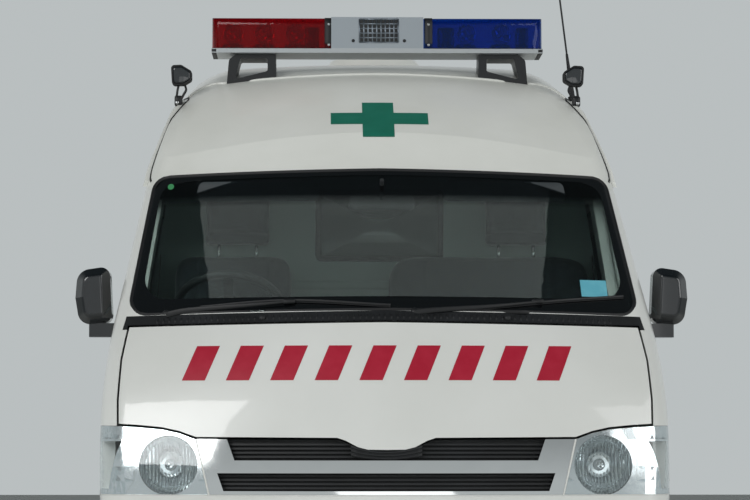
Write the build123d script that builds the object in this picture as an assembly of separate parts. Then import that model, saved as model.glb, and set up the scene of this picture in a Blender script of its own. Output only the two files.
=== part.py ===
"""High-roof ambulance van, right-hand drive, at full size in millimetres.

Row frame: the nose faces -Y, +X is the vehicle's left side, +Z is up. The origin is on the ground,
on the centre plane, midway between the two bumpers. Distances called "back" run rearwards from the
foremost point of the front bumper, so Y = NOSE_Y + back.
The body is one shell: plan sections lofted upwards give the nose, screen and leaning sides, and cross
sections lofted rearwards give the high roof. Every panel, door, lamp and pane is cut out of that shell.
"""
import os
from math import asin, cos, hypot, radians, sin, tan

from build123d import *

# Overall size
LENGTH = 5380.0
NOSE_Y = -LENGTH / 2
TAIL_Y = LENGTH / 2
WHEELBASE = 3110.0
FRONT_AXLE_BACK = 1060.0
TRACK = 1655.0
WALL = 45.0
PANEL_GAP = 7.0
FIT_GAP = 0.5

# Wheels, 195R15 tyres on steel rims
TYRE_R = 345.0
TYRE_WIDTH = 196.0
RIM_R = 190.5
HUB_X = TRACK / 2
FRONT_AXLE_Y = NOSE_Y + FRONT_AXLE_BACK
REAR_AXLE_Y = FRONT_AXLE_Y + WHEELBASE
FRONT_ARCH_R = 420.0
REAR_ARCH_R = 405.0

# Heights of the body's lines
SILL_Z = 250.0
BUMPER_TOP_Z = 655.0
COWL_Z = 1200.0
HEADER_Z = 1760.0

# Plan sections of the body. Columns: height, set-back of the nose on the centre plane, sweep of the
# nose arc, half width at the front corner, in the middle and at the rear, set-in of the tail, radius of
# the front corner and of the rear corner.
TAIL_IN = 62.0
LOWER_LEVELS = [
    (240, 60, 150, 890, 902, 885, TAIL_IN, 110, 105),
    (470, 0, 150, 905, 925, 905, TAIL_IN, 120, 110),
    (655, 8, 150, 912, 935, 915, TAIL_IN, 125, 115),
    (833, 40, 155, 915, 940, 920, TAIL_IN, 125, 115),
    (1020, 105, 175, 908, 938, 918, TAIL_IN + 6, 125, 110),
    (COWL_Z, 215, 235, 890, 925, 905, TAIL_IN + 18, 120, 100),
]
SCREEN_LEVELS = [
    (COWL_Z, 215, 235, 890, 925, 905, TAIL_IN + 18, 120, 100),
    (1480, 510, 218, 848, 884, 866, TAIL_IN + 48, 110, 90),
    (HEADER_Z, 822, 200, 808, 838, 822, TAIL_IN + 82, 100, 80),
]
UPPER_LEVELS = [
    (HEADER_Z, 822, 200, 808, 838, 822, TAIL_IN + 82, 100, 80),
    (2400, 1527, 150, 624, 655, 640, TAIL_IN + 150, 80, 60),
]
MID_BACK = 2290.0
TAIL_BOW = 20.0

# Cross sections of the roof. Columns: distance back, crown height, half width of the crown arc, radius
# of the crown arc.
ROOF_FRONT = [
    (140, 1385, 800, 1500),
    (500, 1610, 800, 1500),
    (860, 1828, 790, 1900),
    (1220, 2032, 700, 2600),
    (1580, 2181, 560, 4600),
    (1940, 2255, 520, 8000),
    (2300, 2283, 500, 12000),
]
ROOF_MIDDLE = [(2300, 2283, 500, 12000), (4960, 2270, 500, 15000)]
ROOF_REAR = [
    (4960, 2270, 500, 15000),
    (5100, 2262, 500, 15000),
    (5240, 2215, 500, 15000),
    (5380, 2080, 500, 15000),
]
SHOULDER_R = 280.0
SHOULDER_SLOPE = radians(58)
ROOF_CUTTER_X = 1150.0

# Side outlines. Columns: distance back, height, corner radius.
DOOR_LEAN = 12.0
DOOR_PLANE_X = 955.0
FRONT_DOOR_OUTLINE = [
    (655, 560, 0),
    (655, 1215, 60),
    (1085, 1745, 70),
    (1518, 1750, 40),
    (1518, 440, 20),
]
FENDER_STRIP = 55.0
BUMPER_OUTLINE = [
    (-100, 0, 0),
    (652, 0, 0),
    (652, 430, 0),
    (600, BUMPER_TOP_Z - 8, 0),
    (-100, BUMPER_TOP_Z - 8, 0),
]
HINGE_AXIS_X = 924.0
HINGE_AXIS_BACK = 653.5
HINGE_LEVELS = (720.0, 930.0)
HINGE_PIN_R = 5.0
HINGE_KNUCKLE_R = 9.5
HINGE_KNUCKLE_LENGTH = 50.0
DOOR_RELIEF = 22.0
SLIDING_DOOR_OUTLINE = [
    (1545, 372, 30),
    (1545, 1765, 50),
    (2640, 1765, 50),
    (2640, 372, 30),
]
DOOR_WINDOW_OUTLINE = [
    (790, 1248, 30),
    (1135, 1688, 50),
    (1450, 1692, 40),
    (1450, 1248, 40),
]
SIDE_WINDOW_LOW = 1245.0
SIDE_WINDOW_HIGH = 1700.0
SIDE_WINDOW_R = 60.0
SIDE_WINDOWS = [(1620, 2565), (2720, 3770), (3850, 4900)]
ROOF_SEAM = [
    (600, 1690, 0),
    (955, 1690, 0),
    (1010, 1716, 60),
    (1250, 1900, 300),
    (1500, 2062, 200),
    (5450, 2048, 0),
    (5450, 2500, 0),
    (600, 2500, 0),
]

# Front outlines, left half. Columns: distance from the centre plane, height.
BONNET_HALF = [
    (0, 790), (60, 791), (85, 796), (128, 819), (155, 828), (601, 831), (655, 850), (711, 862), (784, 869),
    (850, 873), (853, 950), (848, 1080), (832, 1188), (0, 1198),
]
LAMP_OUTLINE = [
    (604, 824), (655, 843), (711, 855), (784, 862), (850, 866), (960, 868), (960, 650), (561, 650),
]
LAMP_REAR_BACK = 330.0
GRILLE_HALF = [(0, 783), (64, 783), (146, 821), (597, 824), (555, 650), (0, 650)]
UPPER_SLOT_HALF = [(0, 840), (508, 840), (478, 757), (0, 757)]
LOWER_SLOT_HALF = [(0, 717), (532, 717), (512, 661), (0, 661)]
SLAT_LEVELS = [(667, 673), (680, 686), (693, 699), (706, 712), (765, 771), (778, 784), (791, 797), (804, 810)]
CHROME_T = 24.0
SLAT_DEPTH = 14.0
SCREEN_FOOT = (845.0, 1226.0)
SCREEN_HEAD = (786.0, 1733.0)
SCREEN_FOOT_BOW = 12.0
SCREEN_HEAD_BOW = 13.0
WINDSCREEN_R = 58.0
COWL_TOP_Z = 1238.0

# Tail, seen from behind
TAILGATE_HALF = [(0, 520), (775, 520), (765, 1200), (700, 1880), (655, 2030), (0, 2040)]
TAILGATE_R = 60.0
TAIL_WINDOW_HALF = [(0, 1235), (690, 1235), (640, 1740), (0, 1745)]
TAIL_LAMP_LOW = 830.0
TAIL_LAMP_HIGH = 1240.0

# Glass and lenses
GLASS_IN = 4.0
GLASS_T = 6.0
PROUD = 12.0

# Floor and the frame under it
FLOOR_TOP = 620.0
FLOOR_T = 20.0
SEAT_BOX_TOP = 820.0
SEAT_BOX_BACK = (650.0, 1505.0)
BULKHEAD_BACK = 430.0
BULKHEAD_SWEEP = 195.0
BULKHEAD_T = 14.0
HOUSE_T = 10.0
FRONT_HOUSE_R = 446.0
REAR_HOUSE_R = 420.0
FRONT_HOUSE_X = 480.0
REAR_HOUSE_X = 600.0
SILL_CLEAR_X = 852.0
RAIL_X = 425.0
RAIL_WIDTH = 60.0
RAIL_DEPTH = 95.0
RAIL_TOP_Z = FLOOR_TOP - FLOOR_T - FIT_GAP
RAIL_LOW_Z = RAIL_TOP_Z - RAIL_DEPTH
RAIL_WALL = 6.0
CROSS_BACKS = [330, 1620, 2400, 3200, 5040]
BED_PLATE_HALF = 275.0
BED_PLATE_BACKS = (2450.0, 4650.0)
BED_PLATE_T = 10.0

def y_at(back):
    return NOSE_Y + back


def outline(points):
    """Face in a plane from rows of x, y and corner radius."""
    face = make_face(Polyline(*[(x, y) for x, y, r in points], close=True))
    for x, y, r in points:
        if r:
            corner = face.vertices().sort_by(lambda v: hypot(v.X - x, v.Y - y))[0]
            face = fillet(corner, r)
    return face


def side_face(points):
    """The same, from rows of distance back, height and corner radius."""
    return outline([(y_at(back), z, r) for back, z, r in points])


def halved(points, radius=0.0):
    """Symmetric face from its right half: rows of distance from the centre plane and height."""
    ring = points + [(-x, z) for x, z in reversed(points) if x]
    return outline([(x, z, radius if abs(x) else 0) for x, z in ring])


def shrunk(face, amount):
    return offset(face, amount=-amount, kind=Kind.INTERSECTION)


def side_cutter(face, x_inner, x_outer):
    """A face in (Y, Z) carried across the left side, from x_inner out to x_outer."""
    return extrude(Plane.YZ.offset(x_inner) * face, amount=x_outer - x_inner)


def side_plug(face, x_inner=420.0):
    """A door-shaped plug: the outline at DOOR_PLANE_X, smaller inwards by DOOR_LEAN degrees."""
    plane = Plane(origin=(DOOR_PLANE_X, 0, 0), x_dir=(0, 1, 0), z_dir=(1, 0, 0))
    inner = extrude(plane * face, amount=-(DOOR_PLANE_X - x_inner), taper=DOOR_LEAN)
    outer = extrude(plane * face, amount=60)
    return inner + outer


def front_cutter(face, back_from, back_to):
    """A face in (X, Z) carried rearwards."""
    plane = Plane(origin=(0, y_at(back_from), 0), x_dir=(1, 0, 0), z_dir=(0, -1, 0))
    return extrude(plane * face, amount=-(back_to - back_from))


def block(x0, x1, back0, back1, z0, z1):
    return Pos((x0 + x1) / 2, y_at((back0 + back1) / 2), (z0 + z1) / 2) * Box(x1 - x0, back1 - back0, z1 - z0)


def mirrored(shape):
    return mirror(shape, about=Plane.YZ)


def plan_section(level, inset):
    """Outline of the body at one height, drawn in by inset."""
    z, nose, sweep, w_front, w_middle, w_rear, tail, r_front, r_rear = level
    front, rear = y_at(nose) + inset, TAIL_Y - tail - inset
    a, m, b = w_front - inset, w_middle - inset, w_rear - inset
    with BuildSketch(Plane.XY.offset(z)) as plan:
        with BuildLine():
            ThreePointArc((-a, front + sweep), (0, front), (a, front + sweep))
            ThreePointArc((a, front + sweep), (m, y_at(MID_BACK)), (b, rear - TAIL_BOW))
            ThreePointArc((b, rear - TAIL_BOW), (0, rear), (-b, rear - TAIL_BOW))
            ThreePointArc((-b, rear - TAIL_BOW), (-m, y_at(MID_BACK)), (-a, front + sweep))
        make_face()
        fillet(plan.vertices().sort_by(Axis.Y)[:2], r_front - 0.7 * inset)
        fillet(plan.vertices().sort_by(Axis.Y)[-2:], r_rear - 0.7 * inset)
    return plan.sketch.faces()[0]


def storey(levels, inset):
    return loft([plan_section(level, inset) for level in levels])


def roof_section(station, inset):
    """Cross section under the roof: crown arc, shoulder arcs and slopes that run out past the sides."""
    back, crown, half, crown_r = station
    crown, crown_r, shoulder_r = crown - inset, crown_r - inset, SHOULDER_R - 0.6 * inset
    turn = asin(half / crown_r)
    reach = crown_r - shoulder_r
    cx, cz = reach * sin(turn), crown - crown_r + reach * cos(turn)
    knee = (crown_r * sin(turn), crown - crown_r * (1 - cos(turn)))
    mid_turn = (turn + SHOULDER_SLOPE) / 2
    middle = (cx + shoulder_r * sin(mid_turn), cz + shoulder_r * cos(mid_turn))
    foot = (cx + shoulder_r * sin(SHOULDER_SLOPE), cz + shoulder_r * cos(SHOULDER_SLOPE))
    edge = (ROOF_CUTTER_X, foot[1] - (ROOF_CUTTER_X - foot[0]) * tan(SHOULDER_SLOPE))
    plane = Plane(origin=(0, y_at(back), 0), x_dir=(1, 0, 0), z_dir=(0, -1, 0))
    with BuildSketch(plane) as cut:
        with BuildLine():
            ThreePointArc((-knee[0], knee[1]), (0, crown), knee)
            ThreePointArc(knee, middle, foot)
            Polyline(foot, edge, (edge[0], 100), (-edge[0], 100), (-edge[0], edge[1]), (-foot[0], foot[1]))
            ThreePointArc((-foot[0], foot[1]), (-middle[0], middle[1]), (-knee[0], knee[1]))
        make_face()
    return cut.sketch.faces()[0]


def roof_form(inset):
    front = loft([roof_section(s, inset) for s in ROOF_FRONT])
    middle = loft([roof_section(s, inset) for s in ROOF_MIDDLE], ruled=True)
    rear = loft([roof_section(s, inset) for s in ROOF_REAR])
    return front + middle + rear


def body_form(inset):
    """The whole body as one block, drawn in by inset."""
    upper = (storey(SCREEN_LEVELS, inset) + storey(UPPER_LEVELS, inset)) & roof_form(inset)
    return upper + storey(LOWER_LEVELS, inset)


def save(name, *shapes):
    """Writes a node, one solid or a set of like solids."""
    solids = [solid for shape in shapes for solid in shape.solids()]
    node = solids[0] if len(solids) == 1 else Compound(children=solids)
    node.label = name
    export_step(node, f"parts/{name}.step")
    print(name, len(solids), round(node.volume / 1e6, 2))


os.makedirs("parts", exist_ok=True)

# Body forms: outer skin, glass faces, inner face, and what is fitted inside
skin = body_form(0)
glass_face = body_form(GLASS_IN)
glass_back = body_form(GLASS_IN + GLASS_T)
cavity = body_form(WALL)
fitted = body_form(WALL + FIT_GAP)
seat_skin = body_form(-FIT_GAP)
clear_inside = body_form(WALL + PANEL_GAP)
proud_skin = body_form(-PROUD)
shell = skin - cavity
pane = glass_face - glass_back

# Cutters for the openings
front_arch = side_cutter(Pos(FRONT_AXLE_Y, TYRE_R) * Circle(FRONT_ARCH_R), 520, 1100)
rear_arch = side_cutter(Pos(REAR_AXLE_Y, TYRE_R) * Circle(REAR_ARCH_R), 620, 1100)
door_face = side_face(FRONT_DOOR_OUTLINE) - Pos(FRONT_AXLE_Y, TYRE_R) * Circle(FRONT_ARCH_R + FENDER_STRIP)
door_hole = side_plug(door_face)
door_plug = side_plug(shrunk(door_face, PANEL_GAP))
slide_face = side_face(SLIDING_DOOR_OUTLINE)
slide_hole = side_cutter(slide_face, 700, 1100)
slide_seat = side_cutter(shrunk(slide_face, FIT_GAP), 700, 1100)
slide_skin = side_cutter(shrunk(slide_face, PANEL_GAP), 700, 1100)
window_faces = [
    side_face([
        (b0, SIDE_WINDOW_LOW, SIDE_WINDOW_R),
        (b0, SIDE_WINDOW_HIGH, SIDE_WINDOW_R),
        (b1, SIDE_WINDOW_HIGH, SIDE_WINDOW_R),
        (b1, SIDE_WINDOW_LOW, SIDE_WINDOW_R),
    ])
    for b0, b1 in SIDE_WINDOWS
]
door_window = side_face(DOOR_WINDOW_OUTLINE)
roof_face = side_face(ROOF_SEAM)
roof_cut = side_cutter(offset(roof_face, FIT_GAP, kind=Kind.INTERSECTION), -1100, 1100)
bonnet_face = halved(BONNET_HALF)
bonnet_cut = front_cutter(offset(bonnet_face, PANEL_GAP, kind=Kind.INTERSECTION), 0, 700)
lamp_face = outline([(x, z, 0) for x, z in LAMP_OUTLINE])
lamp_cut = front_cutter(offset(lamp_face, FIT_GAP, kind=Kind.INTERSECTION), 0, LAMP_REAR_BACK)
grille_face = halved(GRILLE_HALF)
grille_cut = front_cutter(offset(grille_face, FIT_GAP, kind=Kind.INTERSECTION), 0, 300)
(foot_x, foot_z), (head_x, head_z) = SCREEN_FOOT, SCREEN_HEAD
screen_face = make_face([
    ThreePointArc((-foot_x, foot_z), (0, foot_z + SCREEN_FOOT_BOW), (foot_x, foot_z)),
    Line((foot_x, foot_z), (head_x, head_z)),
    ThreePointArc((head_x, head_z), (0, head_z + SCREEN_HEAD_BOW), (-head_x, head_z)),
    Line((-head_x, head_z), (-foot_x, foot_z)),
])
screen_face = fillet(screen_face.vertices(), WINDSCREEN_R)
screen_cut = front_cutter(offset(screen_face, FIT_GAP), 100, 1100)
cowl_cut = front_cutter(halved([(0, 1190), (856, 1180), (846, 1226), (0, COWL_TOP_Z)]), 100, 600)
tailgate_face = halved(TAILGATE_HALF, TAILGATE_R)
tail_hole = front_cutter(offset(tailgate_face, PANEL_GAP, kind=Kind.INTERSECTION), 5000, 5500)
tail_window = halved(TAIL_WINDOW_HALF, SIDE_WINDOW_R)
tail_lamp_cut = block(792, 1000, 5150, 5500, TAIL_LAMP_LOW, TAIL_LAMP_HIGH)
tail_lamp_fit = block(
    792 + FIT_GAP, 1000, 5150 + FIT_GAP, 5500, TAIL_LAMP_LOW + FIT_GAP, TAIL_LAMP_HIGH - FIT_GAP)
sill_cut = block(-1100, 1100, -100, 5600, 0, SILL_Z)

# Body sides: left side with its sliding door opening, right side with a third window
side = shell & block(FIT_GAP / 2, 1100, -100, 5600, 0, 2500)
for cutter in (roof_cut, bonnet_cut, grille_cut, screen_cut, cowl_cut, tail_hole, tail_lamp_cut, sill_cut):
    side -= cutter
side -= lamp_cut
side -= front_arch
side -= rear_arch
side -= door_hole
bumper_face = side_face(BUMPER_OUTLINE)
side -= side_cutter(bumper_face, -1100, 1100)
hinge_leaves = []
for z in HINGE_LEVELS:
    hinge_place = Pos(HINGE_AXIS_X, y_at(HINGE_AXIS_BACK), z)
    side -= hinge_place * Cylinder(HINGE_KNUCKLE_R + FIT_GAP, HINGE_KNUCKLE_LENGTH + 2 * FIT_GAP)
    side -= hinge_place * Pos(10, 10, 0) * Box(40, 20, HINGE_KNUCKLE_LENGTH + 2 * FIT_GAP)
    side += hinge_place * Cylinder(HINGE_PIN_R, HINGE_KNUCKLE_LENGTH + 2)
    leaf = hinge_place * Cylinder(HINGE_KNUCKLE_R, HINGE_KNUCKLE_LENGTH)
    leaf += hinge_place * Pos(-5, 11, 0) * Box(8, 22, HINGE_KNUCKLE_LENGTH)
    leaf -= hinge_place * Cylinder(HINGE_PIN_R + FIT_GAP, HINGE_KNUCKLE_LENGTH + 2)
    hinge_leaves.append(leaf)
side = side.solids().sort_by(SortBy.VOLUME)[-1]
windows_left = [side_cutter(face, 700, 1100) for face in window_faces]
rail_groove = (skin - glass_back) & block(700, 1100, 2655, 3960, 1168, 1200)
side_left = side - slide_hole - windows_left[1] - windows_left[2] - rail_groove
side_right = mirrored(side - windows_left[0] - windows_left[1] - windows_left[2])
save("body_side_left", side_left)
save("body_side_right", side_right)

# Side panes, bonded into their openings
panes = []
for face in window_faces:
    panes.append(pane & side_cutter(shrunk(face, FIT_GAP), 700, 1100))
save("side_glass_left", panes[1], panes[2])
save("side_glass_right", *[mirrored(p) for p in panes])

# Sliding door, held by its rollers at the front and the rear edge; its window pane is bonded in
slide_ring = (slide_seat - slide_skin) - glass_back
sliding_door = (shell & slide_seat) - slide_ring - windows_left[0]
save("sliding_door", sliding_door)
save("sliding_door_glass", panes[0])

# High roof in one moulding
roof = shell & side_cutter(roof_face, -1100, 1100)
roof -= screen_cut
roof -= tail_hole
save("roof", roof)

# Windscreen and the cowl grille below it
save("windscreen", pane & front_cutter(screen_face, 100, 1100))
cowl_face = halved([(0, 1190.3), (855, 1183), (845, 1226), (0, COWL_TOP_Z)])
cowl = (shell & cowl_cut) & front_cutter(cowl_face, 100, 600)
cowl = cowl - bonnet_cut - screen_cut
save("cowl_grille", cowl)

# Bonnet, hinged along its upper edge
bonnet = shell & front_cutter(bonnet_face, 0, 700)
save("bonnet", bonnet)

# Lamps: a clear lens over a housing with a reflector bowl and a turn lamp cell
LAMP_X = 688.0
LAMP_Z = 742.0
BOWL_R = 94.0
lamp_body = glass_face & front_cutter(lamp_face, 0, LAMP_REAR_BACK)
lamp_body &= block(0, 1000, 0, LAMP_REAR_BACK, 600, 900)
bowl_axis = Plane(origin=(LAMP_X, y_at(265), LAMP_Z), x_dir=(1, 0, 0), z_dir=(0, -1, 0))
bowl = loft([
    bowl_axis * Circle(42),
    bowl_axis.offset(60) * Circle(78),
    bowl_axis.offset(120) * Circle(BOWL_R),
])
bowl += extrude(bowl_axis.offset(120) * Circle(BOWL_R), amount=200)
lens = (skin - glass_face) & front_cutter(lamp_face, 0, LAMP_REAR_BACK)
save("headlamp_lenses", lens, mirrored(lens))
turn_cell = side_cutter(Plane.XY * Pos(y_at(255), LAMP_Z) * Rectangle(170, 150), 812, 1000)
lamp_shell = lamp_body - bowl - turn_cell
lamp_solids = lamp_shell.solids().sort_by(SortBy.VOLUME)
save("headlamp_housings", lamp_solids[-1], mirrored(lamp_solids[-1]))

# Grille: chrome frame with two slots, and a dark panel with slats behind them
upper_slot = front_cutter(halved(UPPER_SLOT_HALF), 0, 300)
lower_slot = front_cutter(halved(LOWER_SLOT_HALF), 0, 300)
grille_frame = (skin - body_form(CHROME_T)) & front_cutter(grille_face, 0, 300)
grille_frame = grille_frame - upper_slot - lower_slot
save("grille_chrome", grille_frame)
slat_root = body_form(CHROME_T + SLAT_DEPTH)
slat_layer = body_form(CHROME_T + FIT_GAP) - slat_root
grille_panel = (slat_root - cavity) & front_cutter(grille_face, 0, 300)
for z0, z1 in SLAT_LEVELS:
    slat = slat_layer & block(-700, 700, 0, 300, z0, z1) & front_cutter(grille_face, 0, 300)
    grille_panel += slat
save("grille_panel", grille_panel)

# Front bumper
bumper = shell & side_cutter(shrunk(bumper_face, FIT_GAP), -1100, 1100)
bumper &= block(-1100, 1100, -100, 700, SILL_Z, 700)
bumper = bumper - front_arch - mirrored(front_arch) - grille_cut - lamp_cut - mirrored(lamp_cut)
intake = front_cutter(outline([(-420, 330, 20), (420, 330, 20), (400, 440, 20), (-400, 440, 20)]), 0, 300)
bumper -= intake
for z in (352, 374, 396, 418):
    bumper += shell & block(-425, 425, 0, 200, z, z + 8)
fog_cell = front_cutter(Pos(690, 420) * Circle(62), 0, 420)
fog_floor = fog_cell - body_form(CHROME_T)
bumper = bumper - fog_floor - mirrored(fog_floor)
save("front_bumper", bumper)

# Rear bumper: a deep step wrapped round the tail
rear_bumper = block(-880, 880, 5250, LENGTH, 285, 500)
rear_bumper = fillet(rear_bumper.edges().filter_by(Axis.Z).sort_by(Axis.Y)[-2:], 90)
rear_bumper -= seat_skin
save("rear_bumper", rear_bumper)

# Tail lamps at the rear corners
tail_lamp = shell & tail_lamp_fit
save("tail_lamps", tail_lamp, mirrored(tail_lamp))

# Tailgate with its pane, hinged at the roof
tailgate = shell & front_cutter(tailgate_face, 5000, 5500)
tailgate -= front_cutter(offset(tail_window, FIT_GAP), 5000, 5500)
plate_recess = (skin - glass_back) & front_cutter(outline([(-260, 905, 15), (260, 905, 15), (240, 1085, 15),
                                                          (-240, 1085, 15)]), 5000, 5500)
tailgate -= plate_recess
save("tailgate", tailgate)
save("tailgate_glass", pane & front_cutter(tail_window, 5000, 5500))

# Front doors, panes and mirrors
door_cut = side_cutter(offset(door_window, FIT_GAP), 600, 1100)
door_panel = (shell & door_plug) - door_cut
door_panel -= block(700, HINGE_AXIS_X - DOOR_RELIEF, HINGE_AXIS_BACK - 20, HINGE_AXIS_BACK + 95, 520, 712)
door_panel = door_panel.solids().sort_by(SortBy.VOLUME)[-1]
for leaf in hinge_leaves:
    door_panel += leaf
door_pane = pane & side_cutter(door_window, 600, 1100)
save("door_left", door_panel)
save("door_right", mirrored(door_panel))
save("door_glass_left", door_pane)
save("door_glass_right", mirrored(door_pane))
MIRROR_BACK = 745.0
mirror_face = outline([(912, 1218, 30), (1022, 1208, 42), (1037, 1300, 0), (1030, 1392, 48), (922, 1408, 30)])
mirror_head = front_cutter(mirror_face, MIRROR_BACK - 62, MIRROR_BACK + 50)
mirror_head = chamfer(mirror_head.faces().sort_by(Axis.Y)[0].edges(), 38, 26)
mirror_head = fillet(mirror_head.faces().sort_by(Axis.Y)[0].edges(), 14)
mirror_foot = block(880, 990, MIRROR_BACK - 25, MIRROR_BACK + 30, 1168, 1215)
mirror_node = (mirror_head + mirror_foot) - seat_skin
mirror_node = mirror_node.solids().sort_by(SortBy.VOLUME)[-1]
save("mirror_left", mirror_node)
save("mirror_right", mirrored(mirror_node))

# Floor: footwell, seat box over the front wheels, and the load floor
b0, b1 = SEAT_BOX_BACK
floor_top = [
    (BULKHEAD_BACK - 60, FLOOR_TOP), (b0, FLOOR_TOP), (b0, SEAT_BOX_TOP), (b1, SEAT_BOX_TOP),
    (b1, FLOOR_TOP), (5290, FLOOR_TOP),
]
floor_low = [
    (5290, FLOOR_TOP - FLOOR_T), (b1 - FLOOR_T, FLOOR_TOP - FLOOR_T), (b1 - FLOOR_T, SEAT_BOX_TOP - FLOOR_T),
    (b0 + FLOOR_T, SEAT_BOX_TOP - FLOOR_T), (b0 + FLOOR_T, FLOOR_TOP - FLOOR_T),
    (BULKHEAD_BACK - 60, FLOOR_TOP - FLOOR_T),
]
floor = side_cutter(side_face([(b, z, 0) for b, z in floor_top + floor_low]), -1000, 1000)
tail_zone = block(-1100, 1100, 5000, 5600, 0, 900)
floor = (floor & fitted) - tail_zone + (floor & clear_inside & tail_zone)
for x0, x1 in ((SILL_CLEAR_X, 1000), (-1000, -SILL_CLEAR_X)):
    floor -= block(x0, x1, 600, 1535, 500, 900)


def wheel_house(axle_y, radius, x_inner):
    """Half drum over a wheel, closed at its inner end above the suspension."""
    drum = Circle(radius + HOUSE_T) - Circle(radius)
    skin_part = side_cutter(Pos(axle_y, TYRE_R) * drum, x_inner, 1000)
    end_part = side_cutter(Pos(axle_y, TYRE_R) * Circle(radius + HOUSE_T), x_inner - HOUSE_T, x_inner)
    upper = Pos(0, axle_y, TYRE_R + 500 + 240) * Box(2400, 1200, 1000)
    return (skin_part + end_part) & upper


houses = [
    wheel_house(FRONT_AXLE_Y, FRONT_HOUSE_R, FRONT_HOUSE_X),
    wheel_house(REAR_AXLE_Y, REAR_HOUSE_R, REAR_HOUSE_X),
]
for house in houses:
    house &= fitted
    for hand in (house, mirrored(house)):
        floor += hand
front_void = side_cutter(Pos(FRONT_AXLE_Y, TYRE_R) * Circle(FRONT_HOUSE_R), FRONT_HOUSE_X, 1000)
rear_void = side_cutter(Pos(REAR_AXLE_Y, TYRE_R) * Circle(REAR_HOUSE_R), REAR_HOUSE_X, 1000)
for void in (front_void, rear_void):
    floor = floor - void - mirrored(void)
floor += block(-BED_PLATE_HALF, BED_PLATE_HALF, *BED_PLATE_BACKS, FLOOR_TOP, FLOOR_TOP + BED_PLATE_T)
save("floor_pan", floor)

# Bulkhead in front of the feet, swept like the nose
def swept_wall(back, thickness, z0, z1):
    outer_arc = ThreePointArc(
        (-880, y_at(back + BULKHEAD_SWEEP)), (0, y_at(back)), (880, y_at(back + BULKHEAD_SWEEP)))
    inner_back = back + thickness
    inner_arc = ThreePointArc(
        (880, y_at(inner_back + BULKHEAD_SWEEP)),
        (0, y_at(inner_back)),
        (-880, y_at(inner_back + BULKHEAD_SWEEP)))
    ring = [outer_arc, Line(outer_arc @ 1, inner_arc @ 0), inner_arc, Line(inner_arc @ 1, outer_arc @ 0)]
    return extrude(Pos(0, 0, z0) * make_face(ring), amount=z1 - z0)


bulkhead = swept_wall(BULKHEAD_BACK, BULKHEAD_T, FLOOR_TOP + FIT_GAP, 1215) & fitted
for x0, x1 in ((SILL_CLEAR_X, 1000), (-1000, -SILL_CLEAR_X)):
    bulkhead -= block(x0, x1, 600, 900, 500, 1300)
save("bulkhead", bulkhead)

# Dashboard on the bulkhead
dash_profile = [
    (445, 960, 0), (455, 1205, 20), (640, 1222, 60), (805, 1130, 50),
    (800, 1000, 40), (700, 905, 30), (560, 900, 20),
]
dash_back = 190.0
dash_profile = [(back + dash_back, z, r) for back, z, r in dash_profile]
dash = side_cutter(side_face(dash_profile), -845, 845)
dash_front = swept_wall(BULKHEAD_BACK + BULKHEAD_T + FIT_GAP, 330, 965, 1200)
dash += dash_front & block(-845, 845, 300, 700, 965, 1200)
dash &= body_form(WALL + 12)
save("dashboard", dash)

# Steering column and wheel
WHEEL_X = -525.0
STEER_TILT = 52.0
steer_axis = (0, cos(radians(STEER_TILT)), sin(radians(STEER_TILT)))
steer_plane = Plane(origin=(WHEEL_X, y_at(985), 1275), x_dir=(1, 0, 0), z_dir=steer_axis)
rim_ring = steer_plane * Torus(182, 14)
hub_disc = extrude(steer_plane.offset(-28) * Circle(62), amount=26)
spokes = extrude(steer_plane.offset(-22) * (Rectangle(364, 34) + Pos(0, -90) * Rectangle(34, 180)), amount=14)
steering_wheel = rim_ring + hub_disc + spokes
save("steering_wheel", steering_wheel)
column = extrude(steer_plane.offset(-28 - FIT_GAP) * Circle(34), amount=-300) - dash
column = column.solids().sort_by(Axis.Z)[-1]
save("steering_column", column)

# Seats on the seat box
def seat(x0, x1, head_x0, head_x1):
    base = block(x0 + 10, x1 - 10, 1010, 1480, SEAT_BOX_TOP + FIT_GAP, 880)
    cushion = block(x0, x1, 985, 1480, 880, 990)
    cushion = fillet(cushion.edges().filter_by(Axis.X), 30)
    back_face = side_face([(1400, 900, 30), (1530, 900, 30), (1690, 1500, 40), (1590, 1515, 40)])
    back = side_cutter(back_face, x0, x1)
    head_face = side_face([(1615, 1530, 20), (1700, 1530, 20), (1725, 1740, 35), (1650, 1745, 30)])
    head = side_cutter(head_face, head_x0, head_x1)
    stalks = [Pos(x, y_at(1655), 1520) * Cylinder(8, 60) for x in (head_x0 + 60, head_x1 - 60)]
    return base + cushion + back + head + stalks[0] + stalks[1]


save("driver_seat", seat(-761, -304, -648, -388))
save("passenger_seat", seat(30, 800, 395, 645))

# Partition behind the seats, with its window
partition = block(-1000, 1000, 1790, 1815, FLOOR_TOP + FIT_GAP, 2200) & fitted
partition -= block(-218, 244, 1700, 1900, 1500, 1750)
save("partition", partition)

# Frame rails and cross members
rail_in, rail_out = RAIL_X - RAIL_WIDTH / 2, RAIL_X + RAIL_WIDTH / 2
rail = block(rail_in, rail_out, 300, 5230, RAIL_LOW_Z, RAIL_TOP_Z)
rail -= block(rail_in - 10, rail_out - RAIL_WALL, 290, 5240, RAIL_LOW_Z + RAIL_WALL, RAIL_TOP_Z - RAIL_WALL)
frame = rail + mirrored(rail)
for back in CROSS_BACKS:
    cross_x = rail_out - RAIL_WALL / 2
    frame += block(-cross_x, cross_x, back, back + 60, RAIL_LOW_Z + RAIL_WALL / 2, RAIL_TOP_Z - RAIL_WALL / 2)
save("frame_rails", frame)

# Engine as one block between the rails, under the seats
engine = block(-280, 280, 880, 1470, 300 + FIT_GAP, 770)
engine = fillet(engine.edges(), 30)
save("engine_block", engine)

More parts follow.
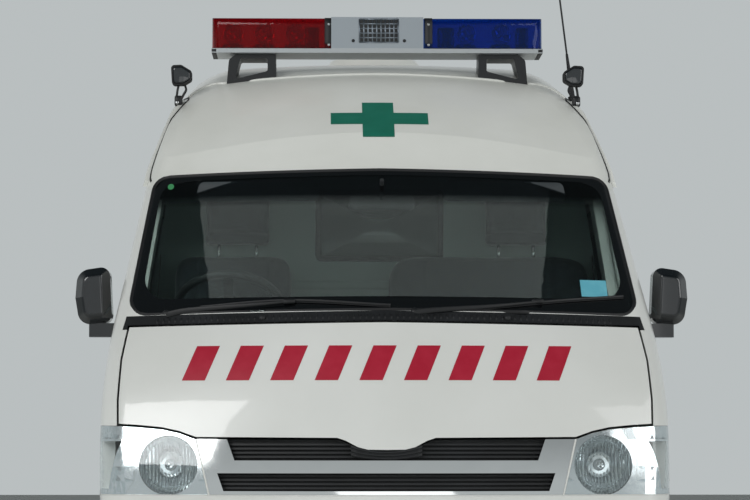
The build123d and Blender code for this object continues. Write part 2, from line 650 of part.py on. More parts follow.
# Wheels
tyre_profile = [
    (-67.5, RIM_R + FIT_GAP, 0), (-67.5, RIM_R + 15, 0), (-TYRE_WIDTH / 2, RIM_R + 40, 30),
    (-TYRE_WIDTH / 2 + 4, TYRE_R - 42, 20), (-74, TYRE_R, 16), (74, TYRE_R, 16),
    (TYRE_WIDTH / 2 - 4, TYRE_R - 42, 20), (TYRE_WIDTH / 2, RIM_R + 40, 30), (67.5, RIM_R + 15, 0),
    (67.5, RIM_R + FIT_GAP, 0),
]
rim_profile = [
    (-76, RIM_R + 14, 0), (-76, RIM_R - 6, 0), (-60, RIM_R - 12, 6),
    (-20, RIM_R - 30, 10), (40, RIM_R - 30, 10),
    (58, RIM_R - 14, 6), (76, RIM_R - 8, 0), (76, RIM_R + 14, 0),
    (70, RIM_R + 14, 0), (68, RIM_R, 0), (-68, RIM_R, 0),
    (-70, RIM_R + 14, 0),
]
disc_profile = [
    (-10, 29, 0), (30, 29, 0), (34, 60, 8), (52, 120, 20),
    (20, 150, 12), (22, RIM_R - 28, 0), (12, RIM_R - 28, 0),
    (8, 148, 8), (38, 118, 12), (22, 66, 8), (-10, 64, 0),
]


def turned(points):
    """Solid of revolution about the X axis from rows of x, radius and corner radius."""
    return revolve(outline(points), axis=Axis.X)


tyre = turned(tyre_profile)
rim = turned(rim_profile) + turned(disc_profile)
WHEELS = [
    ("front_left", 1, FRONT_AXLE_Y), ("front_right", -1, FRONT_AXLE_Y),
    ("rear_left", 1, REAR_AXLE_Y), ("rear_right", -1, REAR_AXLE_Y),
]
for place, hand, axle_y in WHEELS:
    turn = Rot(0, 0, 0) if hand > 0 else Rot(0, 0, 180)
    save(f"tyre_{place}", Pos(hand * HUB_X, axle_y, TYRE_R) * turn * tyre)
    save(f"rim_{place}", Pos(hand * HUB_X, axle_y, TYRE_R) * turn * rim)

# Front suspension: cross member with two pairs of arms that hold the kingpins
KINGPIN_X = 760.0
SPINDLE_R = 28.5
KNUCKLE_HALF = 78.0
EYE_T = 26.0
pin_z = TYRE_R
post = Pos(KINGPIN_X, FRONT_AXLE_Y, pin_z) * Cylinder(24, 2 * KNUCKLE_HALF)
pin = Pos(KINGPIN_X, FRONT_AXLE_Y, pin_z) * Cylinder(12, 2 * (KNUCKLE_HALF + EYE_T))
spindle = side_cutter(Pos(FRONT_AXLE_Y, TYRE_R) * Circle(SPINDLE_R), KINGPIN_X, HUB_X + 40)
knuckle = post + pin + spindle
save("knuckle_left", knuckle)
save("knuckle_right", mirrored(knuckle))
eye_gap = 0.4
suspension = block(-540, 540, FRONT_AXLE_BACK - 60, FRONT_AXLE_BACK + 60, 215, 300)
for z0 in (pin_z - KNUCKLE_HALF - eye_gap - EYE_T, pin_z + KNUCKLE_HALF + eye_gap):
    arm = block(500, KINGPIN_X, FRONT_AXLE_BACK - 34, FRONT_AXLE_BACK + 34, z0, z0 + EYE_T)
    arm += Pos(KINGPIN_X, FRONT_AXLE_Y, z0 + EYE_T / 2) * Cylinder(34, EYE_T)
    arm -= Pos(KINGPIN_X, FRONT_AXLE_Y, z0 + EYE_T / 2) * Cylinder(12 + eye_gap, EYE_T + 2)
    suspension += arm
    suspension += mirrored(arm)
tower = block(RAIL_X - 30, 520, FRONT_AXLE_BACK - 50, FRONT_AXLE_BACK + 50, 215, RAIL_LOW_Z - FIT_GAP)
suspension += tower
suspension += mirrored(tower)
save("front_suspension", suspension)

# Rear axle with its leaf springs
axle_half = [
    (0, 130, 0), (55, 128, 30), (120, 70, 30), (260, 42, 30), (HUB_X - 75, 42, 0), (HUB_X - 75, SPINDLE_R, 0),
    (HUB_X + 40, SPINDLE_R, 0), (HUB_X + 40, 0, 0), (0, 0, 0),
]
half_axle = Pos(0, REAR_AXLE_Y, TYRE_R) * turned(axle_half)
rear_axle = half_axle + mirrored(half_axle)
save("rear_axle", rear_axle)
SPRING_X = 560.0
SPRING_HALF = 620.0
spring_path = ThreePointArc(
    (y_at(FRONT_AXLE_BACK + WHEELBASE - SPRING_HALF), 505), (REAR_AXLE_Y, TYRE_R - 62),
    (y_at(FRONT_AXLE_BACK + WHEELBASE + SPRING_HALF), 505))
spring_face = make_face([
    spring_path,
    Line(spring_path @ 1, (spring_path @ 1) + Vector(0, 30)),
    ThreePointArc(
        (spring_path @ 1) + Vector(0, 30), (REAR_AXLE_Y, TYRE_R - 42.4),
        (spring_path @ 0) + Vector(0, 30)),
    Line((spring_path @ 0) + Vector(0, 30), spring_path @ 0),
])
spring = side_cutter(spring_face, SPRING_X - 35, SPRING_X + 35)
for back in (FRONT_AXLE_BACK + WHEELBASE - SPRING_HALF, FRONT_AXLE_BACK + WHEELBASE + SPRING_HALF):
    spring += block(RAIL_X + RAIL_WIDTH / 2 + FIT_GAP, SPRING_X + 35, back - 25, back + 25, 500, 590)
save("leaf_springs", spring, mirrored(spring))

# Warning light bar across the roof
BAR_BACK = 1610.0
BAR_HALF = 611.0
BAR_LOW = 2245.0
BAR_HIGH = 2378.0
BAR_DEPTH = 190.0
RED_INNER = -200.0
BLUE_INNER = 200.0
LENS_END_R = 55.0
bar_front = BAR_BACK - BAR_DEPTH / 2
bar_rear = BAR_BACK + BAR_DEPTH / 2
base_plate = block(-BAR_HALF, BAR_HALF, bar_front, bar_rear, BAR_LOW, BAR_LOW + 16)
speaker = block(-170, 170, bar_front, bar_rear, BAR_LOW + 16, BAR_HIGH)
foot_face = outline([(375, BAR_LOW, 0), (372, 2080, 0), (560, 2080, 0), (548, 2222, 20), (520, BAR_LOW, 0)])
feet = front_cutter(foot_face, BAR_BACK - 70, BAR_BACK + 70)
feet -= front_cutter(outline([(405, 2180, 8), (405, 2228, 8), (505, 2228, 8), (525, 2150, 8)]),
                     BAR_BACK - 80, BAR_BACK + 80)
feet = (feet + mirrored(feet)) - seat_skin
bar_base = base_plate + speaker + feet
save("light_bar_base", bar_base)


def bar_lens(inner_x, outer_x):
    """One coloured lens of the bar, from the speaker outwards, its far end rounded in plan."""
    lens_face = side_face([
        (bar_front, BAR_LOW + 16 + FIT_GAP, 4),
        (bar_rear, BAR_LOW + 16 + FIT_GAP, 4),
        (bar_rear - 12, BAR_HIGH, 30),
        (bar_front + 12, BAR_HIGH, 30),
    ])
    lens = side_cutter(lens_face, min(inner_x, outer_x), max(inner_x, outer_x))
    plan = Pos((inner_x + outer_x) / 2, y_at(BAR_BACK), BAR_LOW) * Box(abs(outer_x - inner_x), BAR_DEPTH, 400)
    far_edges = plan.edges().filter_by(Axis.Z).sort_by(lambda edge: abs(edge.center().X))[-2:]
    return lens & fillet(far_edges, LENS_END_R)


save("light_bar_red", bar_lens(RED_INNER + 30 - FIT_GAP, -BAR_HALF))
save("light_bar_blue", bar_lens(BLUE_INNER - 30 + FIT_GAP, BAR_HALF))

# Roof ventilator and aerial
vent = Pos(0, y_at(2250), 2283) * Cone(205, 170, 45)
vent -= seat_skin
save("roof_vent", vent)

# Aerial on the left rain gutter and a search lamp on each side
LAMP_POD_X = 716.0
LAMP_POD_BACK = 1470.0
pod = front_cutter(Pos(LAMP_POD_X, 2150) * Circle(38), LAMP_POD_BACK - 45, LAMP_POD_BACK + 35)
pod += block(LAMP_POD_X - 9, LAMP_POD_X + 9, LAMP_POD_BACK - 14, LAMP_POD_BACK + 14, 2000, 2150)
pod -= seat_skin
pod = pod.solids().sort_by(SortBy.VOLUME)[-1]
save("search_lamps", pod, mirrored(pod))
AERIAL_LEAN = 7.0
AERIAL_LENGTH = 560.0
aerial_foot = Pos(735, y_at(1640), 2060) * Rot(0, -AERIAL_LEAN, 0)
aerial = aerial_foot * Pos(0, 0, AERIAL_LENGTH / 2) * Cylinder(3.5, AERIAL_LENGTH)
aerial += aerial_foot * Pos(0, 0, 10) * Cylinder(16, 60)
aerial -= seat_skin
aerial = aerial.solids().sort_by(SortBy.VOLUME)[-1]
save("aerial", aerial)

# Wipers lie on the screen: seen from the front, an arm from its pivot and the blade it carries
WIPERS = [
    [(-712, 1226), (-634, 1245), (-470, 1256), (-308, 1272), (18, 1254)],
    [(92, 1226), (149, 1236), (354, 1251), (560, 1276), (795, 1296)],
]
WIPER_T = 16.0
wiper_shapes = []
for points in WIPERS:
    band = make_face(offset(Polyline(*points), WIPER_T / 2, side=Side.BOTH))
    wiper_shapes.append((proud_skin - seat_skin) & front_cutter(band, 100, 900))
save("wipers", *wiper_shapes)

# Rain gutters along the seam between the sides and the roof
GUTTER_WIDTH = 18.0
gutter_outer = offset(roof_face, GUTTER_WIDTH / 2, kind=Kind.INTERSECTION)
gutter_inner = offset(roof_face, -GUTTER_WIDTH / 2, kind=Kind.INTERSECTION)
gutter_band = side_cutter(gutter_outer - gutter_inner, 500, 1100)
gutter_band &= block(500, 1100, 1005, 5080, 1600, 2200)
gutter = (proud_skin - seat_skin) & gutter_band
gutter = gutter.solids().sort_by(SortBy.VOLUME)[-1]
gutter -= pod
gutter -= aerial
save("rain_gutters", gutter, mirrored(gutter))

# Drive line and tank under the floor
SHAFT_R = 38.0
shaft_axis_z = TYRE_R + 10
shaft = Pos(0, (y_at(1470) + REAR_AXLE_Y - 130) / 2, shaft_axis_z) * Rot(90, 0, 0) * Cylinder(
    SHAFT_R, REAR_AXLE_Y - 130 - y_at(1470) - 2 * FIT_GAP)
save("propeller_shaft", shaft)
tank = block(110, 385, 1800, 2750, 300, RAIL_LOW_Z - FIT_GAP)
tank = fillet(tank.edges(), 28)
tank += block(140, RAIL_X, 1900, 1940, RAIL_LOW_Z - 30, RAIL_LOW_Z - FIT_GAP)
tank += block(140, RAIL_X, 2600, 2640, RAIL_LOW_Z - 30, RAIL_LOW_Z - FIT_GAP)
save("fuel_tank", tank)
EXHAUST_R = 27.0
exhaust_path = FilletPolyline(
    (-250, y_at(1476), 400), (-250, y_at(1750), 390), (-250, y_at(3300), 390), (-300, y_at(3900), 560),
    (-300, y_at(4500), 560), (-330, y_at(4800), 400), (-330, y_at(5250), 400), radius=120)
exhaust_end = Plane(origin=exhaust_path @ 0, z_dir=exhaust_path % 0)
exhaust = sweep(exhaust_end * Circle(EXHAUST_R), path=exhaust_path)
silencer = Pos(-250, y_at(2500), 390) * Rot(90, 0, 0) * Cylinder(85, 620)
exhaust += fillet(silencer.edges().filter_by(GeomType.CIRCLE), 20)
for back in (2230, 2770):
    exhaust += block(-RAIL_X, -250, back - 15, back + 15, 470, RAIL_LOW_Z - FIT_GAP)
save("exhaust", exhaust)
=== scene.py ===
"""High-roof ambulance van in a pale studio, seen from low down in front."""
from math import cos, pi, radians, sin

import bmesh
import bpy
import numpy as np
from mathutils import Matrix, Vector
from mathutils.bvhtree import BVHTree


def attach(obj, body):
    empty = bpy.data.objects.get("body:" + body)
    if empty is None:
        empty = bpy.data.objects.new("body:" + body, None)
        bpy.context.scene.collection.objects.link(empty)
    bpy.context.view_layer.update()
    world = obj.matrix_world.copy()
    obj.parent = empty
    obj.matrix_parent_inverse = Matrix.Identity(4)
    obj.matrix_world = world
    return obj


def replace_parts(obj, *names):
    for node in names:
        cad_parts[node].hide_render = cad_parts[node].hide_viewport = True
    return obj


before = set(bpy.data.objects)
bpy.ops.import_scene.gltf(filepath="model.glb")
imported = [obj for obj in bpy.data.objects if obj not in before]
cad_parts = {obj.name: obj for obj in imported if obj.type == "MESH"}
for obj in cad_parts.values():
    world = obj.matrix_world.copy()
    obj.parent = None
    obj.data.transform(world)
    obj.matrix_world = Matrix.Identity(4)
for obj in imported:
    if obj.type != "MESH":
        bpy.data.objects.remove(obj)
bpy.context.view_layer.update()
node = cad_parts

# Frame, axles, springs and tank: rolled steel sections, welded and sprayed with black chassis paint.
# The paint is a soft satin with fine dust on it; the engine and the steering knuckles are sand cast iron.


def linear(hex_code):
    """sRGB hex colour to linear red, green, blue and alpha."""
    channels = [int(hex_code[i:i + 2], 16) / 255 for i in (1, 3, 5)]
    return [c / 12.92 if c <= 0.04045 else ((c + 0.055) / 1.055) ** 2.4 for c in channels] + [1.0]


def add(material, kind, links=None, stops=(), **settings):
    """A shader node with its attributes or sockets set, and its sockets linked from other nodes' outputs.
    Stops are a colour ramp's rows of (position, hex colour or number)."""
    tree = material.node_tree
    made = tree.nodes.new("ShaderNode" + kind)
    for key, value in settings.items():
        if hasattr(made, key):
            setattr(made, key, value)
        else:
            made.inputs[key.replace("_", " ")].default_value = value
    for key, source in (links or {}).items():
        tree.links.new(source, made.inputs[key])
    for _ in stops[2:]:
        made.color_ramp.elements.new(0.5)
    for i, (position, value) in enumerate(stops):
        stop = made.color_ramp.elements[i]
        stop.position = position
        stop.color = linear(value) if isinstance(value, str) else (value, value, value, 1.0)
    return made


def feed(material, **sources):
    """Links nodes' outputs to sockets of the material's own shader."""
    shader = material.node_tree.nodes["Principled BSDF"]
    for key, source in sources.items():
        material.node_tree.links.new(source, shader.inputs[key.replace("_", " ")])


def finish(name, colour, **settings):
    """Principled material under a real finish's name."""
    material = bpy.data.materials.new(name)
    material.use_nodes = True
    shader = material.node_tree.nodes["Principled BSDF"]
    for key, value in {"Base_Color": linear(colour), **settings}.items():
        shader.inputs[key.replace("_", " ")].default_value = value
    material.diffuse_color = linear(colour)
    return material


def grained(material, size_mm, depth_mm, rough=None, kind="TexNoise", **settings):
    """Surface relief: a procedural texture whose grain is size_mm across and depth_mm deep, on Object
    coordinates; with rough = (low, high) the same grain also varies the roughness."""
    place = {"Vector": add(material, "TexCoord").outputs["Object"]}
    grain = add(material, kind, place, Scale=1000.0 / size_mm, **settings)
    out = grain.outputs["Fac" if "Fac" in grain.outputs else "Distance"]
    bump = add(material, "Bump", {"Height": out}, Distance=depth_mm / 1000.0, Strength=1.0)
    feed(material, Normal=bump.outputs["Normal"])
    if rough:
        spread = add(material, "MapRange", {"Value": out}, To_Min=rough[0], To_Max=rough[1])
        feed(material, Roughness=spread.outputs["Result"])


def mottled(material, base, worn, size_mm, low=0.4, high=0.8):
    """Colour that drifts between two hex tones over patches size_mm across."""
    place = {"Vector": add(material, "TexCoord").outputs["Object"]}
    cloud = add(material, "TexNoise", place, Scale=1000.0 / size_mm, Detail=5.0)
    ramp = add(material, "ValToRGB", {"Fac": cloud.outputs["Fac"]}, [(low, base), (high, worn)])
    feed(material, Base_Color=ramp.outputs["Color"])


def dress(material, *names):
    """Gives CAD nodes one material in all their slots."""
    for name in names:
        slots = node[name].data.materials
        if not slots:
            slots.append(material)
        for i in range(len(slots)):
            slots[i] = material


chassis_paint = finish("black_chassis_paint", "#232425", Roughness=0.5)
mottled(chassis_paint, "#202122", "#34322E", 90, 0.45, 0.75)
grained(chassis_paint, 7, 0.12, rough=(0.42, 0.62))
dress(chassis_paint, "frame_rails", "front_suspension", "rear_axle", "leaf_springs", "fuel_tank",
      "propeller_shaft")
cast_iron = finish("sand_cast_iron", "#3E3C3A", Metallic=0.4, Roughness=0.7)
mottled(cast_iron, "#3E3C3A", "#54493F", 60, 0.45, 0.8)
grained(cast_iron, 3, 0.4)
dress(cast_iron, "engine_block", "knuckle_left", "knuckle_right")
aluminised = finish("aluminised_steel_pipe", "#8D8A84", Metallic=0.85, Roughness=0.45)
mottled(aluminised, "#96938D", "#6E5F50", 80, 0.4, 0.75)
grained(aluminised, 5, 0.08, rough=(0.38, 0.6))
dress(aluminised, "exhaust")

# Tyres: carbon black rubber moulded with four tread grooves, slanted sipes and raised sidewall ribs.
# The rubber is dull, a little grey and dusty on the tread.
TYRE_R = 0.345
HUBS = {"front_left": (0.8275, -1.630), "front_right": (-0.8275, -1.630),
        "rear_left": (0.8275, 1.480), "rear_right": (-0.8275, 1.480)}


def placed(name, data, body=None):
    """Object at the origin for a mesh, lamp or camera; a piece of the van rides on a body."""
    thing = bpy.data.objects.new(name, data)
    bpy.context.scene.collection.objects.link(thing)
    if body:
        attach(thing, body)
    return thing


def surface(name, points, material, body=None, wrap_u=False, wrap_v=False, smooth=True):
    """Mesh over a grid of points, rows by columns by three; either way round can be closed."""
    rows, columns = points.shape[:2]
    index = np.arange(rows * columns).reshape(rows, columns)
    if wrap_u:
        index = np.vstack([index, index[:1]])
    if wrap_v:
        index = np.hstack([index, index[:, :1]])
    faces = np.stack([index[:-1, :-1], index[:-1, 1:], index[1:, 1:], index[1:, :-1]], -1).reshape(-1, 4)
    mesh = bpy.data.meshes.new(name)
    mesh.from_pydata(points.reshape(-1, 3).tolist(), [], faces.tolist())
    mesh.polygons.foreach_set("use_smooth", np.full(len(faces), smooth))
    mesh.materials.append(material)
    return placed(name, mesh, body)


def closed(piece):
    """Merges the doubled points of seams and poles and turns all faces outwards."""
    shape = bmesh.new()
    shape.from_mesh(piece.data)
    bmesh.ops.remove_doubles(shape, verts=shape.verts, dist=1e-6)
    bmesh.ops.recalc_face_normals(shape, faces=shape.faces)
    shape.to_mesh(piece.data)
    shape.free()
    return piece


def joined(name, pieces, body):
    """One piece from several: their meshes put one after the other in one, with a slot for each material."""
    whole = bpy.data.meshes.new(name)
    shape = bmesh.new()
    for piece in pieces:
        mesh, material = piece.data, piece.data.materials[0]
        if material not in list(whole.materials):
            whole.materials.append(material)
        slot = list(whole.materials).index(material)
        mesh.polygons.foreach_set("material_index", np.full(len(mesh.polygons), slot))
        shape.from_mesh(mesh)
        bpy.data.objects.remove(piece)
    shape.to_mesh(whole)
    shape.free()
    return placed(name, whole, body)


def smooth_line(points, count):
    """Catmull-Rom curve through the points: count places evenly spread over the point number, each the
    cubic of its four nearest points."""
    knots = np.asarray(points, float)
    knots = np.vstack([2 * knots[0] - knots[1], knots, 2 * knots[-1] - knots[-2]])
    place = np.linspace(0, len(points) - 1, count)
    cell = np.minimum(place.astype(int), len(points) - 2)
    t = (place - cell)[:, None]
    a, b, c, d = (knots[cell + k] for k in range(4))
    squared, cubed = 2 * a - 5 * b + 4 * c - d, 3 * b - a - 3 * c + d
    return 0.5 * (2 * b + (c - a) * t + squared * t ** 2 + cubed * t ** 3)


tyre_rubber = finish("carbon_black_rubber", "#1D1D1E", Roughness=0.82)
mottled(tyre_rubber, "#1C1C1D", "#34332F", 70, 0.45, 0.85)
grained(tyre_rubber, 4, 0.12)
TREAD_HALF, SHOULDER_X = 0.073, 0.07
TURNS, ACROSS, LUGS = 504, 46, 72
GROOVES_X = (-0.046, -0.0155, 0.0155, 0.046)
wall = smooth_line([(0.0675, 0.1915), (0.0705, 0.203), (0.088, 0.222), (0.0965, 0.248), (0.0965, 0.275),
                    (0.0905, 0.303), (0.081, 0.327), (TREAD_HALF, 0.3405)], 26)
tread_x = np.linspace(TREAD_HALF, -TREAD_HALF, ACROSS)[1:-1]
tread_r = TYRE_R - 0.0022 * (tread_x / TREAD_HALF) ** 4
profile = np.vstack([wall, np.column_stack([tread_x, tread_r]), wall[::-1] * (-1, 1)])
turn = np.linspace(0, 2 * pi, TURNS, endpoint=False)[:, None]
x, r = profile[:, 0][None, :], profile[:, 1][None, :]
on_tread = np.clip((TREAD_HALF + 0.001 - abs(x)) / 0.002, 0, 1) * (r > 0.33)
grooves = sum(np.exp(-((x - g) / 0.0034) ** 2) for g in GROOVES_X)
sipes = np.clip(np.cos(LUGS * turn + 900 * abs(x) * np.sign(x) + 1.4 * np.sin(130 * x)) * 3 - 2.1, 0, 1)
rib = 0.0009 * np.exp(-((r - 0.288) / 0.0022) ** 2) + 0.0009 * np.exp(-((r - 0.232) / 0.002) ** 2)
lugs = 0.0011 * np.clip(np.cos(LUGS * turn) * 4, -1, 1) * np.exp(-((r - 0.322) / 0.007) ** 2)
depth = on_tread * np.maximum(0.0065 * np.minimum(grooves, 1), 0.0042 * sipes * (abs(x) > 0.022))
radius = np.where(abs(x) > SHOULDER_X, np.minimum(r, TYRE_R), r) - depth
width = x + np.sign(x) * (rib + lugs * (abs(x) > SHOULDER_X) - 0.001)
for place_name, (hub_x, hub_y) in HUBS.items():
    points = np.stack([hub_x + width, hub_y + radius * np.cos(turn), TYRE_R + radius * np.sin(turn)], -1)
    tyre = closed(surface("tyre_" + place_name + "_treaded", points, tyre_rubber, "wheel_" + place_name,
                          wrap_u=True, wrap_v=True))
    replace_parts(tyre, "tyre_" + place_name)

# Wheels: pressed steel discs and rolled rims, sprayed silver. Each is held by six plated nuts round a
# dark plastic centre cap.
silver = finish("silver_enamelled_steel", "#A6A8A9", Metallic=0.7, Roughness=0.36)
mottled(silver, "#A9ABAC", "#8C8A85", 70, 0.5, 0.85)
grained(silver, 2.5, 0.03, rough=(0.3, 0.46))
dress(silver, *["rim_" + name for name in HUBS])
zinc = finish("zinc_plated_nut", "#B9BBBC", Metallic=1.0, Roughness=0.28)
grained(zinc, 2, 0.03)
cap_plastic = finish("moulded_black_cap", "#232427", Roughness=0.42)
grained(cap_plastic, 1.5, 0.05, kind="TexVoronoi")
NUT_CIRCLE, NUT_COUNT = 0.0575, 6
NUT = [(-0.002, 0.0125), (0.011, 0.0125), (0.014, 0.0105), (0.0165, 0.006)]
CAP = [(-0.003, 0.040), (0.006, 0.040), (0.016, 0.034), (0.021, 0.024), (0.023, 0.010)]
AHEAD = -3.1
RAYS = {"front": (AHEAD, (0, 1, 0)), "back": (3.2, (0, -1, 0)), "seats": (0.0, (0, -1, 0)),
        "left": (1.3, (-1, 0, 0)), "right": (-1.3, (1, 0, 0))}


def draped(name, places, ray, lift=0.0):
    """Rows of places dropped onto a CAD node along a ray, a key of RAYS or a (start, direction) of its own,
    then held lift above its face. A place that misses takes the depth of the last that met it."""
    start, direction = RAYS.get(ray, ray)
    tree = BVHTree.FromObject(node[name], bpy.context.evaluated_depsgraph_get())
    axis = int(np.argmax(np.abs(direction)))
    landed, depth = [], start
    for place in places:
        begin = np.insert(np.array(place, float), axis, start)
        hit = tree.ray_cast(Vector(begin), Vector(direction))
        depth = hit[0][axis] if hit[0] else depth
        begin[axis] = depth
        landed.append(begin - np.array(direction) * lift)
    return np.array(landed)


def turned(name, profile, centre, direction, steps, material, body=None, smooth=True):
    """Closed body of revolution: rows of (distance along the direction, radius) carried round the line
    through the centre. A profile that doesn't come back to its start is closed on that line."""
    if profile[0] != profile[-1]:
        profile = [(profile[0][0], 0)] + profile + [(profile[-1][0], 0)]
    ahead = np.array(direction, float) / np.linalg.norm(direction)
    side = np.cross(ahead, (0, 0, 1) if abs(ahead[2]) < 0.9 else (1, 0, 0))
    side /= np.linalg.norm(side)
    angle = np.linspace(0, 2 * pi, steps, endpoint=False)[:, None, None]
    rows = np.asarray(profile, float)[None]
    spoke = side * np.cos(angle) + np.cross(ahead, side) * np.sin(angle)
    points = np.array(centre, float) + ahead * rows[..., :1] + spoke * rows[..., 1:]
    return closed(surface(name, points, material, body, wrap_u=True, smooth=smooth))


for place_name, (hub_x, hub_y) in HUBS.items():
    out, side_name = (1, "left") if hub_x > 0 else (-1, "right")
    turns = [radians(30 + 360 / NUT_COUNT * i) for i in range(NUT_COUNT)]
    places = [(hub_y + NUT_CIRCLE * cos(a), TYRE_R + NUT_CIRCLE * sin(a)) for a in turns]
    *seats, cap_seat = draped("rim_" + place_name, places + [(hub_y, TYRE_R + 0.034)], side_name)
    parts = [turned("nut", NUT, seat, (out, 0, 0), 6, zinc, smooth=False) for seat in seats]
    parts.append(turned("cap", CAP, (cap_seat[0], hub_y, TYRE_R), (out, 0, 0), 48, cap_plastic))
    joined("nuts_and_cap_" + place_name, parts, "wheel_" + place_name)

# Body panels: pressed steel sheet sprayed with white two-pack enamel and polished. The eye sees a clean,
# faintly warm white with a clear gloss and a slight ripple from the spray gun.
enamel = finish("white_two_pack_enamel", "#E9EAE6", Roughness=0.3, Coat_Weight=0.7, Coat_Roughness=0.05)
mottled(enamel, "#EBECE8", "#E3E4DF", 520, 0.35, 0.7)
grained(enamel, 16, 0.018, Detail=2.0)
dress(enamel, "body_side_left", "body_side_right", "bonnet", "door_left", "door_right", "sliding_door",
      "tailgate", "front_bumper", "rear_bumper")

# High roof: moulded glass-fibre shell under a slightly creamier gelcoat, with the laminate's faint
# waviness. The ventilator's dome and the gutters are finished with it.
gelcoat = finish("white_polyester_gelcoat", "#E8E9E3", Roughness=0.34, Coat_Weight=0.5, Coat_Roughness=0.1)
mottled(gelcoat, "#E9EAE4", "#E0E1DA", 380, 0.35, 0.7)
grained(gelcoat, 120, 0.35, Detail=2.0)
dress(gelcoat, "roof", "roof_vent", "rain_gutters")

# Cross and stripes: cut vinyl film stuck on the paint, green on the roof's brow and nine plain red bars
# on the bonnet. The film is a hair proud, satin, with its edge just readable.


def settled(piece):
    """Turns a piece's modifiers into its mesh."""
    graph = bpy.context.evaluated_depsgraph_get()
    mesh = bpy.data.meshes.new_from_object(piece.evaluated_get(graph))
    piece.modifiers.clear()
    piece.data = mesh
    return piece


def outward(piece, toward=(0, -1, 0)):
    """Turns a sheet's faces so that they look toward a direction."""
    normals = np.zeros(len(piece.data.polygons) * 3)
    piece.data.polygons.foreach_get("normal", normals)
    if normals.reshape(-1, 3).sum(0) @ np.array(toward) < 0:
        piece.data.flip_normals()
    return piece


def pressed(name, flat, material, body, target, lift, wrap_v=False):
    """Sheet over a grid of (x, z), held in front of the nose, pushed straight back onto a CAD node's face
    and lifted off it by a small amount."""
    piece = surface(name, np.insert(flat, 1, AHEAD, axis=-1), material, body, wrap_v=wrap_v)
    wrap = piece.modifiers.new("lay", "SHRINKWRAP")
    wrap.target = node[target]
    wrap.wrap_method = "PROJECT"
    wrap.use_project_y = wrap.use_positive_direction = wrap.use_negative_direction = True
    wrap.wrap_mode = "ABOVE_SURFACE"
    wrap.offset = lift
    bpy.context.view_layer.update()
    return outward(settled(piece))


def film(name, corners, cells, material, body, target):
    """Four-cornered film: corners as (x, z) from lower left anticlockwise, seen from the front and blended
    bilinearly over a grid of cells, 0.6 mm off the panel."""
    u = np.linspace(0, 1, cells[0] + 1)[:, None, None]
    v = np.linspace(0, 1, cells[1] + 1)[None, :, None]
    a, b, c, d = (np.array(corner, float) for corner in corners)
    flat = (a * (1 - u) + b * u) * (1 - v) + (d * (1 - u) + c * u) * v
    return pressed(name, flat, material, body, target, 0.0006)


green_film = finish("green_vinyl_film", "#0A6B56", Roughness=0.4, Coat_Weight=0.15)
mottled(green_film, "#0A6B56", "#12735E", 60)
grained(green_film, 5, 0.01)
CROSS_X, CROSS_Z = (-0.173, -0.0615, 0.0496, 0.171), (1.873, 1.927, 1.977, 2.023)
ARM_SPANS = [((1, 2), (0, 3)), ((0, 1), (1, 2)), ((2, 3), (1, 2))]
arms = []
for across, up in ARM_SPANS:
    (x0, x1), (z0, z1) = [CROSS_X[i] for i in across], [CROSS_Z[i] for i in up]
    arms.append(film("arm", ((x0, z0), (x1, z0), (x1, z1), (x0, z1)), (14, 18), green_film, None, "roof"))
joined("vinyl_cross", arms, "body")
red_film = finish("red_vinyl_film", "#B01C35", Roughness=0.38, Coat_Weight=0.2)
mottled(red_film, "#B01C35", "#B9283F", 50)
grained(red_film, 5, 0.01)
BAR_COUNT, BAR_FROM, BAR_TO = 9, -0.650, 0.600
BAR_LOW_Z, BAR_HIGH_Z, BAR_WIDE, BAR_LEAN = 1.010, 1.122, 0.074, 0.046
bars = []
for x in np.linspace(BAR_FROM, BAR_TO - BAR_LEAN - BAR_WIDE, BAR_COUNT):
    corners = [(x, BAR_LOW_Z), (x + BAR_WIDE, BAR_LOW_Z), (x + BAR_LEAN + BAR_WIDE, BAR_HIGH_Z),
               (x + BAR_LEAN, BAR_HIGH_Z)]
    bars.append(film("bar", corners, (6, 10), red_film, None, "bonnet"))
joined("vinyl_bars", bars, "bonnet")

# Windscreen: laminated float glass bonded into the body. It has a faint green tint, a grey shade band at
# its head, and a black ceramic border that hides the bond; black rubber fills the joint round it.
laminated = finish("laminated_float_glass", "#D5DEDB", Roughness=0.0, IOR=1.5, Transmission_Weight=1.0)
SHADE_FROM, SHADE_TO = 1.612, 1.655


def share_of_height(material, low, high, coordinates="Object"):
    """Share of the way up from one height to another, held between 0 and 1."""
    axes = add(material, "SeparateXYZ", {"Vector": add(material, "TexCoord").outputs[coordinates]})
    share = add(material, "MapRange", {"Value": axes.outputs["Z"]}, From_Min=low, From_Max=high)
    return share.outputs["Result"]


def lets_lamps_through(material, colour):
    """Mixes in a tinted Transparent shader for shadow rays, so that lamps light what is behind a pane."""
    tree = material.node_tree
    either = add(material, "MixShader", {
        0: add(material, "LightPath").outputs["Is Shadow Ray"],
        1: tree.nodes["Principled BSDF"].outputs["BSDF"],
        2: add(material, "BsdfTransparent", Color=linear(colour)).outputs["BSDF"]})
    tree.links.new(either.outputs["Shader"], tree.nodes["Material Output"].inputs["Surface"])


tint = add(laminated, "ValToRGB", {"Fac": share_of_height(laminated, SHADE_FROM, SHADE_TO)},
           [(0.0, "#D3DEDB"), (1.0, "#2C3438")])
feed(laminated, Base_Color=tint.outputs["Color"])
grained(laminated, 400, 0.02, Detail=0.0)
dress(laminated, "windscreen", "door_glass_left", "door_glass_right")
lets_lamps_through(laminated, "#E2EAE8")


